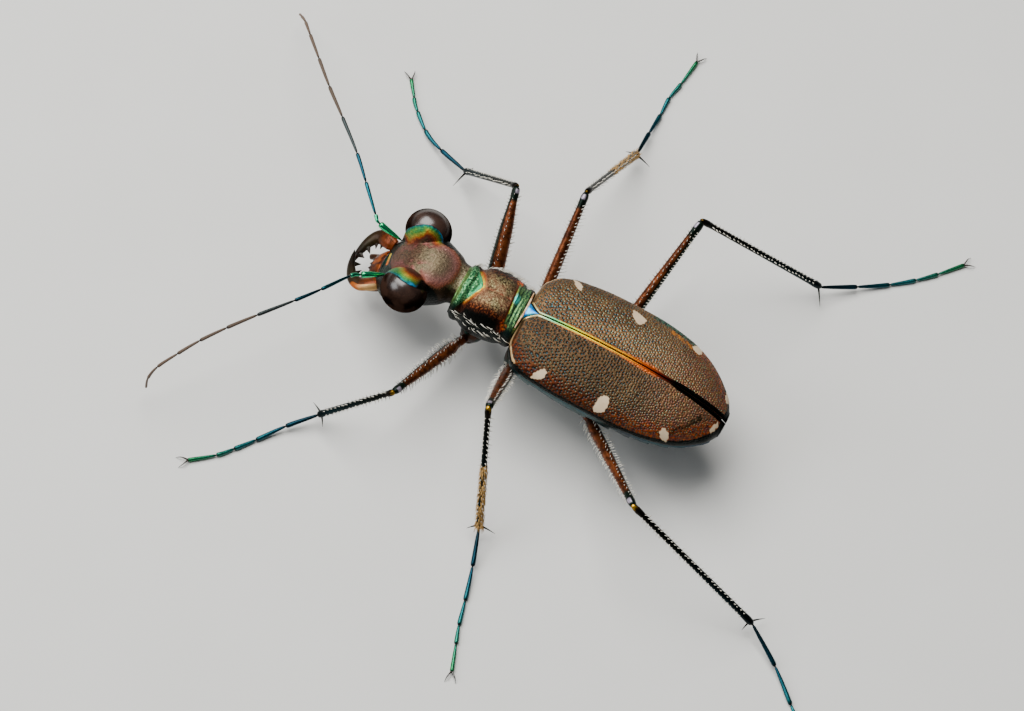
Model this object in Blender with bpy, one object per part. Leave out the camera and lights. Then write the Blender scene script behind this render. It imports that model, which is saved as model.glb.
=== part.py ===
"""Tiger beetle standing still on its six feet, life size.

Sizes are in millimetres and MM turns them into metres. The beetle faces -Y, its left
side is +X, and the tarsi rest on the plane z = 0. Body positions are measured from the
front of the scutellum, which stands BODY_X, BODY_Y from the part's origin.
"""

import math

import bmesh
import bpy
import numpy as np
from mathutils import Vector

MM = 0.001
GAP = 0.3
BODY_X = 1.08
BODY_Y = -2.23

# Elytra: half-width, top and lower edge by distance behind the scutellum's front
ELYTRA_Y = (-0.1, 0.15, 0.6, 1.6, 3.6, 5.3, 6.5, 7.4, 8.05, 8.45, 8.66)
ELYTRA_HALF = (1.75, 2.08, 2.32, 2.50, 2.58, 2.51, 2.23, 1.78, 1.27, 0.84, 0.47)
ELYTRA_TOP = (4.22, 4.30, 4.40, 4.52, 4.60, 4.52, 4.36, 4.12, 3.88, 3.68, 3.52)
ELYTRA_SHELL = 0.5
DOME_DEPTH = 0.85
DOME_TUCK = 28
SCUTELLUM_HALF = 0.45
SCUTELLUM_LENGTH = 0.85

# Belly of the pterothorax and of the abdomen
BELLY_Y = (-0.1, 0.6, 1.8, 3.2, 4.5, 6.0, 7.2, 8.2)
BELLY_Z = (2.00, 1.62, 1.38, 1.32, 1.42, 1.62, 2.00, 2.62)
WAIST_Y = 3.75
THORAX_FRONT = -0.1
ABDOMEN_END = 8.2
FLANK_SHARE = 0.93
PLATE_STEP = 0.955
VENTRITES = (4.75, 5.6, 6.4, 7.15, 7.75)

# Pronotum: front to rear
PRONOTUM_Y = (-3.0, -2.92, -2.72, -2.58, -2.3, -1.7, -1.1, -0.82, -0.66, -0.5, -0.42)
PRONOTUM_HALF = (1.02, 1.14, 1.20, 1.15, 1.31, 1.42, 1.38, 1.31, 1.22, 1.25, 1.16)
PRONOTUM_TOP = (4.00, 4.10, 4.15, 4.10, 4.27, 4.40, 4.38, 4.31, 4.21, 4.22, 4.12)
PRONOTUM_LOW = (2.35, 2.22, 2.12, 2.10, 2.02, 1.95, 1.95, 1.98, 2.00, 2.02, 2.12)
PRONOTUM_YAW = 2.0

# Head: neck to front edge of the clypeus
HEAD_Y = (-3.3, -3.42, -3.8, -4.3, -4.8, -5.2, -5.6, -5.95, -6.2, -6.28)
HEAD_HALF = (0.92, 1.02, 1.22, 1.42, 1.48, 1.42, 1.28, 1.08, 0.94, 0.86)
HEAD_TOP = (3.96, 4.06, 4.24, 4.32, 4.24, 4.00, 3.58, 3.10, 2.72, 2.58)
HEAD_LOW = (2.50, 2.38, 2.14, 1.95, 1.82, 1.76, 1.78, 1.86, 1.98, 2.08)
HEAD_YAW = 4.0
HEAD_X = 0.07
EYE_Y = -5.08
EYE_Z = 3.62
EYE_SIDE = 1.40
EYE_RADII = (0.87, 0.95, 0.92)
EYE_SEAT = 1.22

LABRUM_LENGTH = 0.62
LABRUM_HALF = 0.68
LABRUM_THICK = 0.5
LABRUM_SLOPE = 52

# Feelers and mouthparts
FEELER = 0.26
FEELER_WAIST = 0.225
FEELER_TIP = 0.15
FLAGELLUM_JOINTS = 9
PALP = 0.25
PALP_TIP = 0.14

# Legs: half thickness of each segment
FEMUR_ROOM = 0.33
FEMUR_THIN = 0.25
TIBIA_THIN = 0.25
TARSUS_NECK = 0.215
TARSUS_FLARE = 0.265
TARSUS_AXIS = 0.225
COXA_RADIUS = 0.44
COXA_FACE = 0.28
CLAW_LENGTH = 0.62
CLAW_BASE = 0.10
SPUR_DROP = 0.38
SPUR_BASE = 0.08

# Hip, knee, ankle and toe of each leg, the half thickness of its thigh, and how far the tarsus
# bows from its chord
LEGS = {
    "front_right": ((-0.75, -1.90, 1.45), (-4.80, -3.00, 3.85), (-5.98, -5.36, 0.68), (-8.81, -9.17), 0.31, 0.50),
    "front_left": ((0.75, -1.90, 1.45), (5.60, -3.25, 3.63), (6.58, -5.62, 0.62), (10.75, -9.24), 0.31, 0.08),
    "middle_right": ((-0.90, 0.05, 1.30), (-5.92, -0.45, 4.03), (-10.34, 0.37, 0.66), (-15.69, 0.67), 0.29, 0.10),
    "middle_left": ((0.90, 0.15, 1.30), (4.94, 0.35, 5.00), (7.72, 2.09, 0.62), (13.48, 3.83), 0.29, -0.02),
    "hind_right": ((-1.10, 3.10, 1.30), (-6.90, 4.16, 4.54), (-8.83, 9.49, 0.60), (-13.02, 14.24), 0.27, -0.15),
    "hind_left": ((1.10, 3.20, 1.30), (5.46, 7.10, 4.28), (5.86, 13.31, 0.62), (10.01, 18.37), 0.29, 0.02),
}
TARSOMERES = (0.26, 0.23, 0.17, 0.14, 0.20)

# Joints of the feelers that steer their curves, base to tip
FEELERS = {
    "right": ((-0.80, -6.02, 2.95), (-0.86, -7.06, 3.15), (-1.10, -7.37, 3.20), (-2.99, -9.21, 3.50),
              (-5.07, -11.52, 3.50), (-6.95, -13.29, 3.10), (-8.00, -14.00, 2.00), (-8.77, -14.36, 0.80)),
    "left": ((0.92, -5.90, 2.95), (1.47, -6.70, 3.05), (1.75, -7.03, 3.10), (3.93, -8.43, 3.30),
             (6.32, -10.20, 3.25), (8.12, -11.38, 2.90), (8.95, -12.00, 1.90), (8.98, -12.04, 0.60)),
}

EYE_LOOK = ((0.045, 0.030, 0.022), 0.15, 0.0)
HEAD_LOOK = ((0.16, 0.11, 0.075), 0.35, 0.7)
PRONOTUM_LOOK = ((0.20, 0.10, 0.055), 0.35, 0.7)
ELYTRA_LOOK = ((0.12, 0.075, 0.045), 0.38, 0.6)
SCUTELLUM_LOOK = ((0.02, 0.16, 0.42), 0.3, 0.8)
BELLY_LOOK = ((0.02, 0.06, 0.07), 0.3, 0.7)
LABRUM_LOOK = ((0.75, 0.36, 0.10), 0.35, 0.0)
MANDIBLE_LOOK = ((0.08, 0.05, 0.02), 0.25, 0.0)
PALP_LOOK = ((0.35, 0.18, 0.07), 0.4, 0.0)
SCAPE_LOOK = ((0.02, 0.18, 0.13), 0.3, 0.8)
FLAGELLUM_LOOK = ((0.09, 0.075, 0.06), 0.6, 0.1)
COXA_LOOK = ((0.03, 0.06, 0.04), 0.35, 0.6)
FEMUR_LOOK = ((0.33, 0.14, 0.05), 0.35, 0.3)
TIBIA_LOOK = ((0.03, 0.05, 0.05), 0.35, 0.6)
TARSUS_LOOK = ((0.02, 0.10, 0.10), 0.35, 0.7)


def clear_scene():
    for obj in list(bpy.data.objects):
        bpy.data.objects.remove(obj)


def ring_mesh(name, rings):
    """A closed mesh through rings of the same number of points, with flat ends."""
    rings = np.asarray(rings, float)
    count, sides = rings.shape[:2]
    points = (rings.reshape(-1, 3) + (BODY_X, BODY_Y, 0)) * MM
    faces = []
    for i in range(count - 1):
        for j in range(sides):
            k = (j + 1) % sides
            faces.append((i * sides + j, i * sides + k, (i + 1) * sides + k, (i + 1) * sides + j))
    faces.append(tuple(range(sides))[::-1])
    faces.append(tuple((count - 1) * sides + j for j in range(sides)))
    mesh = bpy.data.meshes.new(name)
    mesh.from_pydata(points.tolist(), [], faces)
    shape = bmesh.new()
    shape.from_mesh(mesh)
    bmesh.ops.recalc_face_normals(shape, faces=shape.faces)
    shape.to_mesh(mesh)
    shape.free()
    obj = bpy.data.objects.new(name, mesh)
    bpy.context.scene.collection.objects.link(obj)
    return obj


def smooth_path(points, steps):
    """Points along a smooth curve through the given ones, steps to a span."""
    points = np.asarray(points, float)
    ends = np.vstack([2 * points[0] - points[1], points, 2 * points[-1] - points[-2]])
    path = []
    for i in range(1, len(ends) - 2):
        before, start, end, after = ends[i - 1:i + 3]
        for t in np.arange(steps) / steps:
            path.append(0.5 * (2 * start + (end - before) * t
                               + (2 * before - 5 * start + 4 * end - after) * t ** 2
                               + (3 * start - before - 3 * end + after) * t ** 3))
    path.append(points[-1])
    return np.array(path)


def by_length(path, shares):
    """Points of a path at these shares of its length."""
    steps = np.linalg.norm(np.diff(path, axis=0), axis=1)
    along = np.concatenate([[0], np.cumsum(steps)]) / steps.sum()
    return np.stack([np.interp(shares, along, path[:, k]) for k in range(3)], axis=1)


def tube(name, path, wide, thick=None, sides=8, up=(0, 0, 1)):
    """A tube along a path, with a half-width and a half-thickness at each point."""
    path = np.asarray(path, float)
    wide = np.broadcast_to(np.asarray(wide, float), len(path))
    thick = wide if thick is None else np.broadcast_to(np.asarray(thick, float), len(path))
    along = np.gradient(path, axis=0)
    along /= np.linalg.norm(along, axis=1)[:, None]
    over = np.asarray(up, float)
    turns = (np.arange(sides) + 0.5) * 2 * math.pi / sides
    rings = []
    for point, heading, half, depth in zip(path, along, wide, thick):
        over = over - heading * (over @ heading)
        over /= np.linalg.norm(over)
        side = np.cross(heading, over)
        rings.append([point + side * half * math.cos(turn) + over * depth * math.sin(turn)
                      for turn in turns])
    return ring_mesh(name, rings)


def ball(name, centre, radii, turn=0.0, rows=9, sides=14):
    """An ellipsoid, turned about Z, its poles along Z."""
    rings = []
    for tilt in np.linspace(-0.93, 0.93, rows) * math.pi / 2:
        around = np.arange(sides) * 2 * math.pi / sides
        flat = np.stack([radii[0] * np.cos(around) * math.cos(tilt),
                         radii[1] * np.sin(around) * math.cos(tilt)], axis=1)
        c, s = math.cos(turn), math.sin(turn)
        flat = flat @ np.array([[c, s], [-s, c]])
        rings.append([(centre[0] + x, centre[1] + y, centre[2] + radii[2] * math.sin(tilt))
                      for x, y in flat])
    return ring_mesh(name, rings)


def hull_rings(stations, half, top, low, centre, power=0.9, sides=24):
    """Upright rings across the body, one at each station along it."""
    turns = np.arange(sides) * 2 * math.pi / sides
    rings = []
    for y, w, high, base in zip(stations, half, top, low):
        x = centre(y) + w * np.sign(np.cos(turns)) * np.abs(np.cos(turns)) ** power
        z = (high + base) / 2 + (high - base) / 2 * np.sign(np.sin(turns)) * np.abs(np.sin(turns)) ** power
        rings.append(np.stack([x, np.full(sides, y), z], axis=1))
    return rings


def cut(obj, point, normal):
    """Takes off what lies beyond a plane and closes the face."""
    shape = bmesh.new()
    shape.from_mesh(obj.data)
    at = (Vector(point) + Vector((BODY_X, BODY_Y, 0))) * MM
    found = bmesh.ops.bisect_plane(shape, geom=shape.verts[:] + shape.edges[:] + shape.faces[:],
                                   plane_co=at, plane_no=Vector(normal), clear_outer=True)
    rim = [e for e in found["geom_cut"] if isinstance(e, bmesh.types.BMEdge)]
    bmesh.ops.edgeloop_fill(shape, edges=rim)
    bmesh.ops.recalc_face_normals(shape, faces=shape.faces)
    shape.to_mesh(obj.data)
    shape.free()


def combine(obj, others, operation):
    """Joins the other objects to this one, or cuts them from it, and removes them."""
    group = bpy.data.collections.new("pieces")
    bpy.context.scene.collection.children.link(group)
    for other in others:
        bpy.context.scene.collection.objects.unlink(other)
        group.objects.link(other)
    step = obj.modifiers.new("step", "BOOLEAN")
    step.operation = operation
    step.operand_type = "COLLECTION"
    step.collection = group
    step.solver = "EXACT"
    bpy.context.view_layer.update()
    result = bpy.data.meshes.new_from_object(obj.evaluated_get(bpy.context.evaluated_depsgraph_get()))
    obj.modifiers.clear()
    obj.data = result
    for other in others:
        bpy.data.objects.remove(other)
    bpy.data.collections.remove(group)
    keep_largest(obj)


def keep_largest(obj):
    """Leaves only the largest closed surface of a mesh."""
    shape = bmesh.new()
    shape.from_mesh(obj.data)
    unseen = set(shape.faces)
    bodies = []
    while unseen:
        body = [unseen.pop()]
        for face in body:
            for edge in face.edges:
                for other in edge.link_faces:
                    if other in unseen:
                        unseen.remove(other)
                        body.append(other)
        bodies.append(body)
    bodies.sort(key=lambda body: sum(face.calc_area() for face in body))
    extra = [face for body in bodies[:-1] for face in body]
    bmesh.ops.delete(shape, geom=extra, context="FACES")
    shape.to_mesh(obj.data)
    shape.free()


def finish(obj, look, sharp=40):
    """Names the mesh, gives it smooth shading and its own material."""
    colour, roughness, metallic = look
    material = bpy.data.materials.new(obj.name)
    material.use_nodes = True
    surface = material.node_tree.nodes["Principled BSDF"]
    surface.inputs["Base Color"].default_value = (*colour, 1)
    surface.inputs["Roughness"].default_value = roughness
    surface.inputs["Metallic"].default_value = metallic
    obj.data.name = obj.name
    obj.data.materials.clear()
    obj.data.materials.append(material)
    obj.data.shade_smooth()
    obj.data.set_sharp_from_angle(angle=math.radians(sharp))


def smooth_at(y, stations, values):
    """A smooth curve through the values at the stations, read at y."""
    slopes = np.gradient(np.asarray(values), np.asarray(stations))
    i = int(np.clip(np.searchsorted(stations, y) - 1, 0, len(stations) - 2))
    span = stations[i + 1] - stations[i]
    t = min(max((y - stations[i]) / span, 0), 1)
    return ((2 * t ** 3 - 3 * t ** 2 + 1) * values[i] + (t ** 3 - 2 * t ** 2 + t) * span * slopes[i]
            + (3 * t ** 2 - 2 * t ** 3) * values[i + 1] + (t ** 3 - t ** 2) * span * slopes[i + 1])


def elytra_half(y):
    return smooth_at(y, ELYTRA_Y, ELYTRA_HALF)


def elytra_top(y):
    return smooth_at(y, ELYTRA_Y, ELYTRA_TOP)


def dome_depth(y):
    """How far the widest line lies below the suture: less toward the tip."""
    return DOME_DEPTH * (elytra_half(y) / max(ELYTRA_HALF)) ** 0.6


def half_dome(y, shrink, inner_edge, drop, steps):
    """One side of the dome at y: the arc from the suture round to the tucked edge, closed below."""
    half = max(elytra_half(y) - shrink, inner_edge + 0.1)
    top, depth = elytra_top(y) - shrink, dome_depth(y) - 0.2 * shrink
    angles = np.radians(np.linspace(0, 90 + DOME_TUCK, steps))
    x = np.maximum(half * np.sin(angles), inner_edge)
    z = top - depth * (1 - np.cos(angles))
    low = edge_height(y) - drop
    x[0] = inner_edge
    return [(a, y, b) for a, b in zip(x, z)] + [(x[-1], y, low), (inner_edge, y, low)]


def make_elytron(name, side):
    stations = np.concatenate([[-0.1, 0.05, 0.25], np.linspace(0.6, 8.0, 14), [8.3, 8.5, 8.66]])
    outer = [half_dome(y, 0, GAP / 2, 0.02, 13) for y in stations]
    elytron = ring_mesh(name, [[(side * x, y, z) for x, y, z in ring] for ring in outer])
    stations = np.concatenate([[-0.5], np.linspace(0.3, 8.0, 10)])
    inner = [half_dome(y, ELYTRA_SHELL, -0.3, 0.4, 9) for y in stations]
    hollow = ring_mesh("hollow", [[(side * x, y, z) for x, y, z in ring] for ring in inner])
    notch = ring_mesh("notch", scutellum_rings(GAP, 0.2, 1.0))
    combine(elytron, [hollow, notch], "DIFFERENCE")
    finish(elytron, ELYTRA_LOOK)


def scutellum_rings(grow, above, below):
    """A triangle between the bases of the elytra, grown by a gap for their notch."""
    rings = []
    for y, half in ((-0.1, SCUTELLUM_HALF), (0.35, 0.8 * SCUTELLUM_HALF), (SCUTELLUM_LENGTH, 0.1)):
        at = y + (grow if y > 0.5 else 0) - (grow if y < 0 else 0)
        high = elytra_top(y) + above
        low = elytra_top(y) - 0.5 - below
        rings.append([(half + grow, at, low), (half + grow, at, high - 0.06 * (above == 0)),
                      (0, at, high), (-half - grow, at, high - 0.06 * (above == 0)),
                      (-half - grow, at, low)])
    return rings


def make_scutellum():
    scutellum = ring_mesh("scutellum", scutellum_rings(0, 0, 0))
    finish(scutellum, SCUTELLUM_LOOK)


def edge_height(y):
    """Height of the elytron's lower edge."""
    return elytra_top(y) - dome_depth(y) * (1 + math.sin(math.radians(DOME_TUCK)))


def trunk_pieces(name, start, end, plates):
    """The core under the elytra, and the flanks and belly below them, stepped where plates overlap."""
    stations = np.linspace(start, end, 9)
    core_half = [max(elytra_half(y) - ELYTRA_SHELL - GAP - 0.12, 0.25) for y in stations]
    core_top = [elytra_top(y) - ELYTRA_SHELL - GAP for y in stations]
    core_low = [edge_height(y) - 0.9 for y in stations]
    core = ring_mesh(name, hull_rings(stations, core_half, core_top, core_low, lambda y: 0))
    bowl = []
    steps = [edge + shift for edge in plates for shift in (-0.03, 0.03)]
    for y in sorted([*stations[::2], *steps]):
        rim = edge_height(y) - GAP
        full = PLATE_STEP if y in steps[1::2] else 1.0
        half = full * FLANK_SHARE * elytra_half(y)
        low = smooth_at(y, BELLY_Y, BELLY_Z)
        turns = np.linspace(0, -math.pi, 15)
        bowl.append([(half * math.cos(turn), y, rim + full * (rim - low) * math.sin(turn)) for turn in turns])
    return core, ring_mesh("bowl", bowl)


def leg_rooms(names):
    """The space round the coxa and the start of the femur of each leg."""
    rooms = []
    for name in names:
        hip, knee = (np.array(LEGS[name][i]) for i in (0, 1))
        radius = COXA_RADIUS + GAP
        rooms.append(ball("room", hip, (radius,) * 3))
        path = [hip, hip + 0.55 * (knee - hip)]
        rooms.append(tube("room", path, FEMUR_ROOM + GAP, sides=10, up=(0, 1, 0)))
    return rooms


def make_thorax():
    thorax, bowl = trunk_pieces("thorax", THORAX_FRONT, WAIST_Y - GAP / 2, (1.15,))
    combine(thorax, [bowl], "UNION")
    combine(thorax, leg_rooms(["middle_right", "middle_left", "hind_right", "hind_left"]), "DIFFERENCE")
    finish(thorax, BELLY_LOOK)


def make_abdomen():
    abdomen, bowl = trunk_pieces("abdomen", WAIST_Y + GAP / 2, ABDOMEN_END, VENTRITES)
    combine(abdomen, [bowl], "UNION")
    combine(abdomen, leg_rooms(["hind_right", "hind_left"]), "DIFFERENCE")
    finish(abdomen, BELLY_LOOK)


def make_pronotum():
    lean = math.tan(math.radians(PRONOTUM_YAW))
    rings = hull_rings(PRONOTUM_Y, PRONOTUM_HALF, PRONOTUM_TOP, PRONOTUM_LOW,
                       lambda y: -lean * (y - PRONOTUM_Y[-1]))
    pronotum = ring_mesh("pronotum", rings)
    combine(pronotum, leg_rooms(["front_right", "front_left"]), "DIFFERENCE")
    finish(pronotum, PRONOTUM_LOOK)


def head_centre(y):
    """The head's middle line, which turns a little to the beetle's left."""
    return HEAD_X - math.tan(math.radians(HEAD_YAW)) * (y - EYE_Y)


def eye_ball(name, side, grow):
    turn = math.radians(-HEAD_YAW)
    centre = (head_centre(EYE_Y) + side * EYE_SIDE, EYE_Y - side * EYE_SIDE * math.sin(turn), EYE_Z)
    return ball(name, centre, [r + grow for r in EYE_RADII], turn=turn, rows=13, sides=20)


def make_head():
    head = ring_mesh("head", hull_rings(HEAD_Y, HEAD_HALF, HEAD_TOP, HEAD_LOW, head_centre, power=0.85))
    sockets = []
    for side in (1, -1):
        socket = eye_ball("socket", side, GAP)
        cut(socket, (HEAD_X + side * (EYE_SEAT - GAP), EYE_Y, EYE_Z), (-side, 0, 0))
        sockets.append(socket)
    combine(head, sockets, "DIFFERENCE")
    finish(head, HEAD_LOOK)
    for side, name in ((1, "eye_left"), (-1, "eye_right")):
        eye = eye_ball(name, side, 0)
        cut(eye, (HEAD_X + side * EYE_SEAT, EYE_Y, EYE_Z), (-side, 0, 0))
        finish(eye, EYE_LOOK)


def make_labrum():
    """A sloping plate in front of the clypeus, its front edge slightly bowed."""
    slope = math.radians(LABRUM_SLOPE)
    ahead = np.array([0, -math.cos(slope), -math.sin(slope)])
    above = np.array([0, -math.sin(slope), math.cos(slope)])
    start = np.array([0, HEAD_Y[-1], HEAD_TOP[-1] - 0.28]) + GAP * ahead
    rings = []
    for share, width in ((0, 0.86), (0.45, 1.0), (0.8, 0.9), (1.0, 0.62)):
        middle = start + LABRUM_LENGTH * share * ahead
        middle[0] = head_centre(middle[1])
        half = width * LABRUM_HALF
        outline = ((-1, -0.35), (-0.8, 0.35), (0, 0.5), (0.8, 0.35), (1, -0.35), (0, -0.5))
        rings.append([middle + (half * u, 0, 0) + LABRUM_THICK * v * above for u, v in outline])
    finish(ring_mesh("labrum", rings), LABRUM_LOOK)


MANDIBLES = {
    "left": ((1.10, -6.32, 2.15), (1.33, -6.68, 1.98), (1.16, -7.05, 1.82), (0.68, -7.33, 1.66), (-0.05, -7.54, 1.50)),
    "right": ((-0.80, -6.52, 2.15), (-0.93, -6.88, 1.95), (-0.66, -7.18, 1.72), (-0.27, -7.36, 1.36), (0.30, -7.42, 1.02)),
}
MANDIBLE_WIDE = (0.27, 0.27, 0.25, 0.16, 0.05)
MANDIBLE_THICK = (0.26, 0.26, 0.25, 0.15, 0.05)
TOOTH_LENGTH = 0.42


def make_mandible(name, side):
    points = np.array(MANDIBLES[side])
    path = smooth_path(points, 3)
    shares = np.linspace(0, 1, len(path))
    knots = np.linspace(0, 1, len(MANDIBLE_WIDE))
    wide = np.interp(shares, knots, MANDIBLE_WIDE)
    thick = np.interp(shares, knots, MANDIBLE_THICK)
    plane = np.cross(points[2] - points[0], points[4] - points[2])
    plane *= np.sign(plane[2])
    blade = tube(name, path, wide, thick, sides=10, up=plane)
    inward = np.array([head_centre(-7.0), -6.7, 1.7])
    teeth = []
    for i in (5, 7):
        heading = inward - path[i]
        heading /= np.linalg.norm(heading)
        tooth = [path[i], path[i] + heading * (wide[i] + 0.5 * TOOTH_LENGTH), path[i] + heading * (wide[i] + TOOTH_LENGTH)]
        teeth.append(tube("tooth", tooth, (0.13, 0.08, 0.02), sides=5, up=plane))
    combine(blade, teeth, "UNION")
    finish(blade, MANDIBLE_LOOK)


PALPS = {
    "maxillary_palp": ((0.66, -5.50, 1.30), (0.72, -6.05, 1.20), (0.78, -6.55, 1.06), (0.72, -6.94, 0.78)),
    "labial_palp": ((0.26, -5.30, 1.22), (0.28, -5.85, 1.00), (0.32, -6.30, 0.78), (0.34, -6.62, 0.52)),
}


def make_palps():
    for kind, joints in PALPS.items():
        for side, label in ((1, "left"), (-1, "right")):
            points = [(head_centre(y) + side * x, y, z) for x, y, z in joints]
            path = smooth_path(points, 3)
            half = np.interp(np.linspace(0, 1, len(path)), (0, 0.6, 1), (PALP, PALP, PALP_TIP))
            finish(tube(f"{kind}_{label}", path, half, sides=8), PALP_LOOK)


def make_feeler(side):
    joints = np.array(FEELERS[side])
    base = joints[:3]
    whole = smooth_path(joints[2:], 6)
    scape_path = smooth_path(base, 4)
    scape = tube(f"antenna_{side}_scape", scape_path, FEELER, sides=8)
    finish(scape, SCAPE_LOOK)
    begin = whole[1] - whole[0]
    begin /= np.linalg.norm(begin)
    whole[0] = whole[0] + begin * GAP
    joints = np.linspace(0, 1, FLAGELLUM_JOINTS + 1)
    shares = np.concatenate([[start, start + 0.04, end - 0.012] for start, end in zip(joints[:-1], joints[1:])] + [[1]])
    half = np.tile((FEELER_WAIST, FEELER, FEELER), FLAGELLUM_JOINTS)
    half = np.append(half, FEELER_TIP) * np.interp(shares, (0, 0.85, 1), (1, 1, 0.85))
    finish(tube(f"antenna_{side}_flagellum", by_length(whole, shares), half, sides=7), FLAGELLUM_LOOK)


def mitre(first, second, joint, before, after):
    """Cuts two tubes either side of the plane that halves the bend between them."""
    normal = before / np.linalg.norm(before) + after / np.linalg.norm(after)
    normal /= np.linalg.norm(normal)
    cut(first, joint - normal * GAP / 2, normal)
    cut(second, joint + normal * GAP / 2, -normal)


def make_leg(name):
    hip, knee, ankle = (np.array(LEGS[name][i]) for i in (0, 1, 2))
    toe = np.array([*LEGS[name][3], TARSUS_AXIS])
    stout, bow = LEGS[name][4:]
    thigh = knee - hip
    reach = np.linalg.norm(thigh)
    heading = thigh / reach

    coxa = ball(f"{name}_coxa", hip, (COXA_RADIUS, COXA_RADIUS * 1.05, COXA_RADIUS), rows=9, sides=12)
    cut(coxa, hip + heading * COXA_FACE, heading)
    finish(coxa, COXA_LOOK)

    shares = np.array([0, 0.06, 0.1, 0.2, 0.4, 0.6, 0.8, 0.93, 1.06])
    path = hip + heading * (COXA_FACE + GAP) + np.outer(shares, thigh - heading * (COXA_FACE + GAP))
    half = np.interp(shares, (0, 0.06, 0.1, 0.2, 0.4, 0.8, 0.93, 1.06),
                     (0.25, 0.28, 0.25, stout, stout, FEMUR_THIN, FEMUR_THIN, 0.26))
    femur = tube(f"{name}_femur", path, half, sides=9)

    shin = ankle - knee
    length = np.linalg.norm(shin)
    down = shin / length
    shares = np.array([-0.12, 0.0, 0.12, 0.5, 0.85, 1.0, 1.1])
    half = np.interp(shares, (-0.12, 0.5, 0.85, 1.1), (0.25, TIBIA_THIN, TIBIA_THIN, 0.28))
    tibia = tube(f"{name}_tibia", knee + np.outer(shares, shin), half, sides=8)
    mitre(femur, tibia, knee, heading, down)

    flat = toe - ankle
    flat[2] = 0
    aside = np.array([-flat[1], flat[0], 0]) / np.linalg.norm(flat)
    ends = np.concatenate([[0], np.cumsum(TARSOMERES)])
    shares, half = [-0.06], [TARSUS_NECK]
    for start, end in zip(ends[:-1], ends[1:]):
        shares += [start + 0.2 * (end - start), end - 0.02]
        half += [TARSUS_NECK, TARSUS_FLARE]
    shares.append(1.0)
    half.append(0.16)
    shares, half = np.array(shares), np.array(half)
    half[-2] = TARSUS_NECK
    sink = np.clip(1 - shares / 0.42, 0, None) ** 1.6
    foot_path = ankle + np.outer(shares, flat) + np.outer(4 * bow * shares * (1 - shares), aside)
    foot_path[:, 2] = TARSUS_AXIS + (ankle[2] - TARSUS_AXIS) * np.minimum(sink, 1.3)
    tarsus = tube(f"{name}_tarsus", foot_path, half, sides=8)
    mitre(tibia, tarsus, ankle, down, foot_path[1] - foot_path[0])

    last = foot_path[-1] - foot_path[-3]
    last /= np.linalg.norm(last)
    across = np.array([-last[1], last[0], 0])
    claws = []
    for splay in (1, -1):
        start = foot_path[-1] - 0.1 * last
        middle = start + last * 0.35 + across * splay * 0.2 + (0, 0, 0.06)
        tip = start + last * CLAW_LENGTH + across * splay * 0.3 + (0, 0, -0.13)
        claws.append(tube("claw", smooth_path((start, middle, tip), 2),
                          (CLAW_BASE, 0.095, 0.075, 0.045, 0.012), sides=5))
    combine(tarsus, claws, "UNION")
    cut(tarsus, (0, 0, 0), (0, 0, -1))

    inner = -1 if name in ("front_left", "middle_right", "hind_right") else 1
    spurs = []
    for splay, size in ((inner, 1.0), (-inner, 0.7)):
        start = ankle - down * 0.35 + aside * splay * 0.1
        tip = ankle + down * 0.1 + (aside * splay * 0.68 - flat / np.linalg.norm(flat) * 0.16) * size
        tip[2] = ankle[2] - SPUR_DROP * size
        spurs.append(tube("spur", (start, (start + tip) / 2, tip), (SPUR_BASE, 0.06, 0.012), sides=5))
    combine(tibia, spurs, "UNION")
    finish(femur, FEMUR_LOOK)
    finish(tibia, TIBIA_LOOK)
    finish(tarsus, TARSUS_LOOK)


clear_scene()
make_head()
make_labrum()
for label in ("left", "right"):
    make_mandible(f"mandible_{label}", label)
    make_feeler(label)
make_palps()
make_pronotum()
make_scutellum()
make_elytron("elytron_left", 1)
make_elytron("elytron_right", -1)
make_thorax()
make_abdomen()
for leg in LEGS:
    make_leg(leg)
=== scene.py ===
"""A tiger beetle standing on its six feet, life size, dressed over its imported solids.

Places on the body are in millimetres from the front of the scutellum, with the head toward -Y
and the beetle's left toward +X. They become metres in the part's frame when a mesh is made.
"""

from math import cos, pi, radians, sin, tan

import bpy
import numpy as np
from mathutils import Matrix, Vector


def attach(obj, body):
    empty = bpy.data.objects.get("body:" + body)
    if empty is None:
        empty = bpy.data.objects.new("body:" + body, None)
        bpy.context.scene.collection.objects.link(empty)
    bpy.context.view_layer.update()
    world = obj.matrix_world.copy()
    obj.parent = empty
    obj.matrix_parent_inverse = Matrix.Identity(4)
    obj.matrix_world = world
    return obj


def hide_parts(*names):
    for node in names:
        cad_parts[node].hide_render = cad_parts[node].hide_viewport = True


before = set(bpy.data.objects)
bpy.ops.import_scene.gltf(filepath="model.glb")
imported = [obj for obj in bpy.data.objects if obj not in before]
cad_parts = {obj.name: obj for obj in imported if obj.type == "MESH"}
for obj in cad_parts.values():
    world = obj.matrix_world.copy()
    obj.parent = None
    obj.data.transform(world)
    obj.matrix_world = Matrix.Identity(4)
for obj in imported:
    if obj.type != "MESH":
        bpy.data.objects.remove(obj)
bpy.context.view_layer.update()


# Camera: a long lens 220 mm above the back, leaning 26 degrees to the beetle's left, so that
# the head points up and to the left of the picture.
BODY = np.array((1.08, -2.23, 0.0))
MM = 0.001
PICTURE = (1024, 711)
BODY_PIXEL = (533, 311)
PIXELS_PER_MM = 25.5
lean, swing = radians(26), radians(-3)
toward = Vector((sin(lean) * cos(swing), -sin(swing), cos(lean) * cos(swing)))
spine = Vector((0, 1, 0))
spine = (spine - spine.dot(toward) * toward).normalized()
across = toward.cross(spine)
tail_way = Vector((0.886, -0.464)).normalized()
right = tail_way.x * spine - tail_way.y * across
upward = tail_way.y * spine + tail_way.x * across
distance = 0.220
focal = PIXELS_PER_MM * distance * 1000
eye_point = Vector((*BODY[:2], 4.3)) * MM + distance * toward
eye_point -= (BODY_PIXEL[0] - PICTURE[0] / 2) / focal * distance * right
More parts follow.
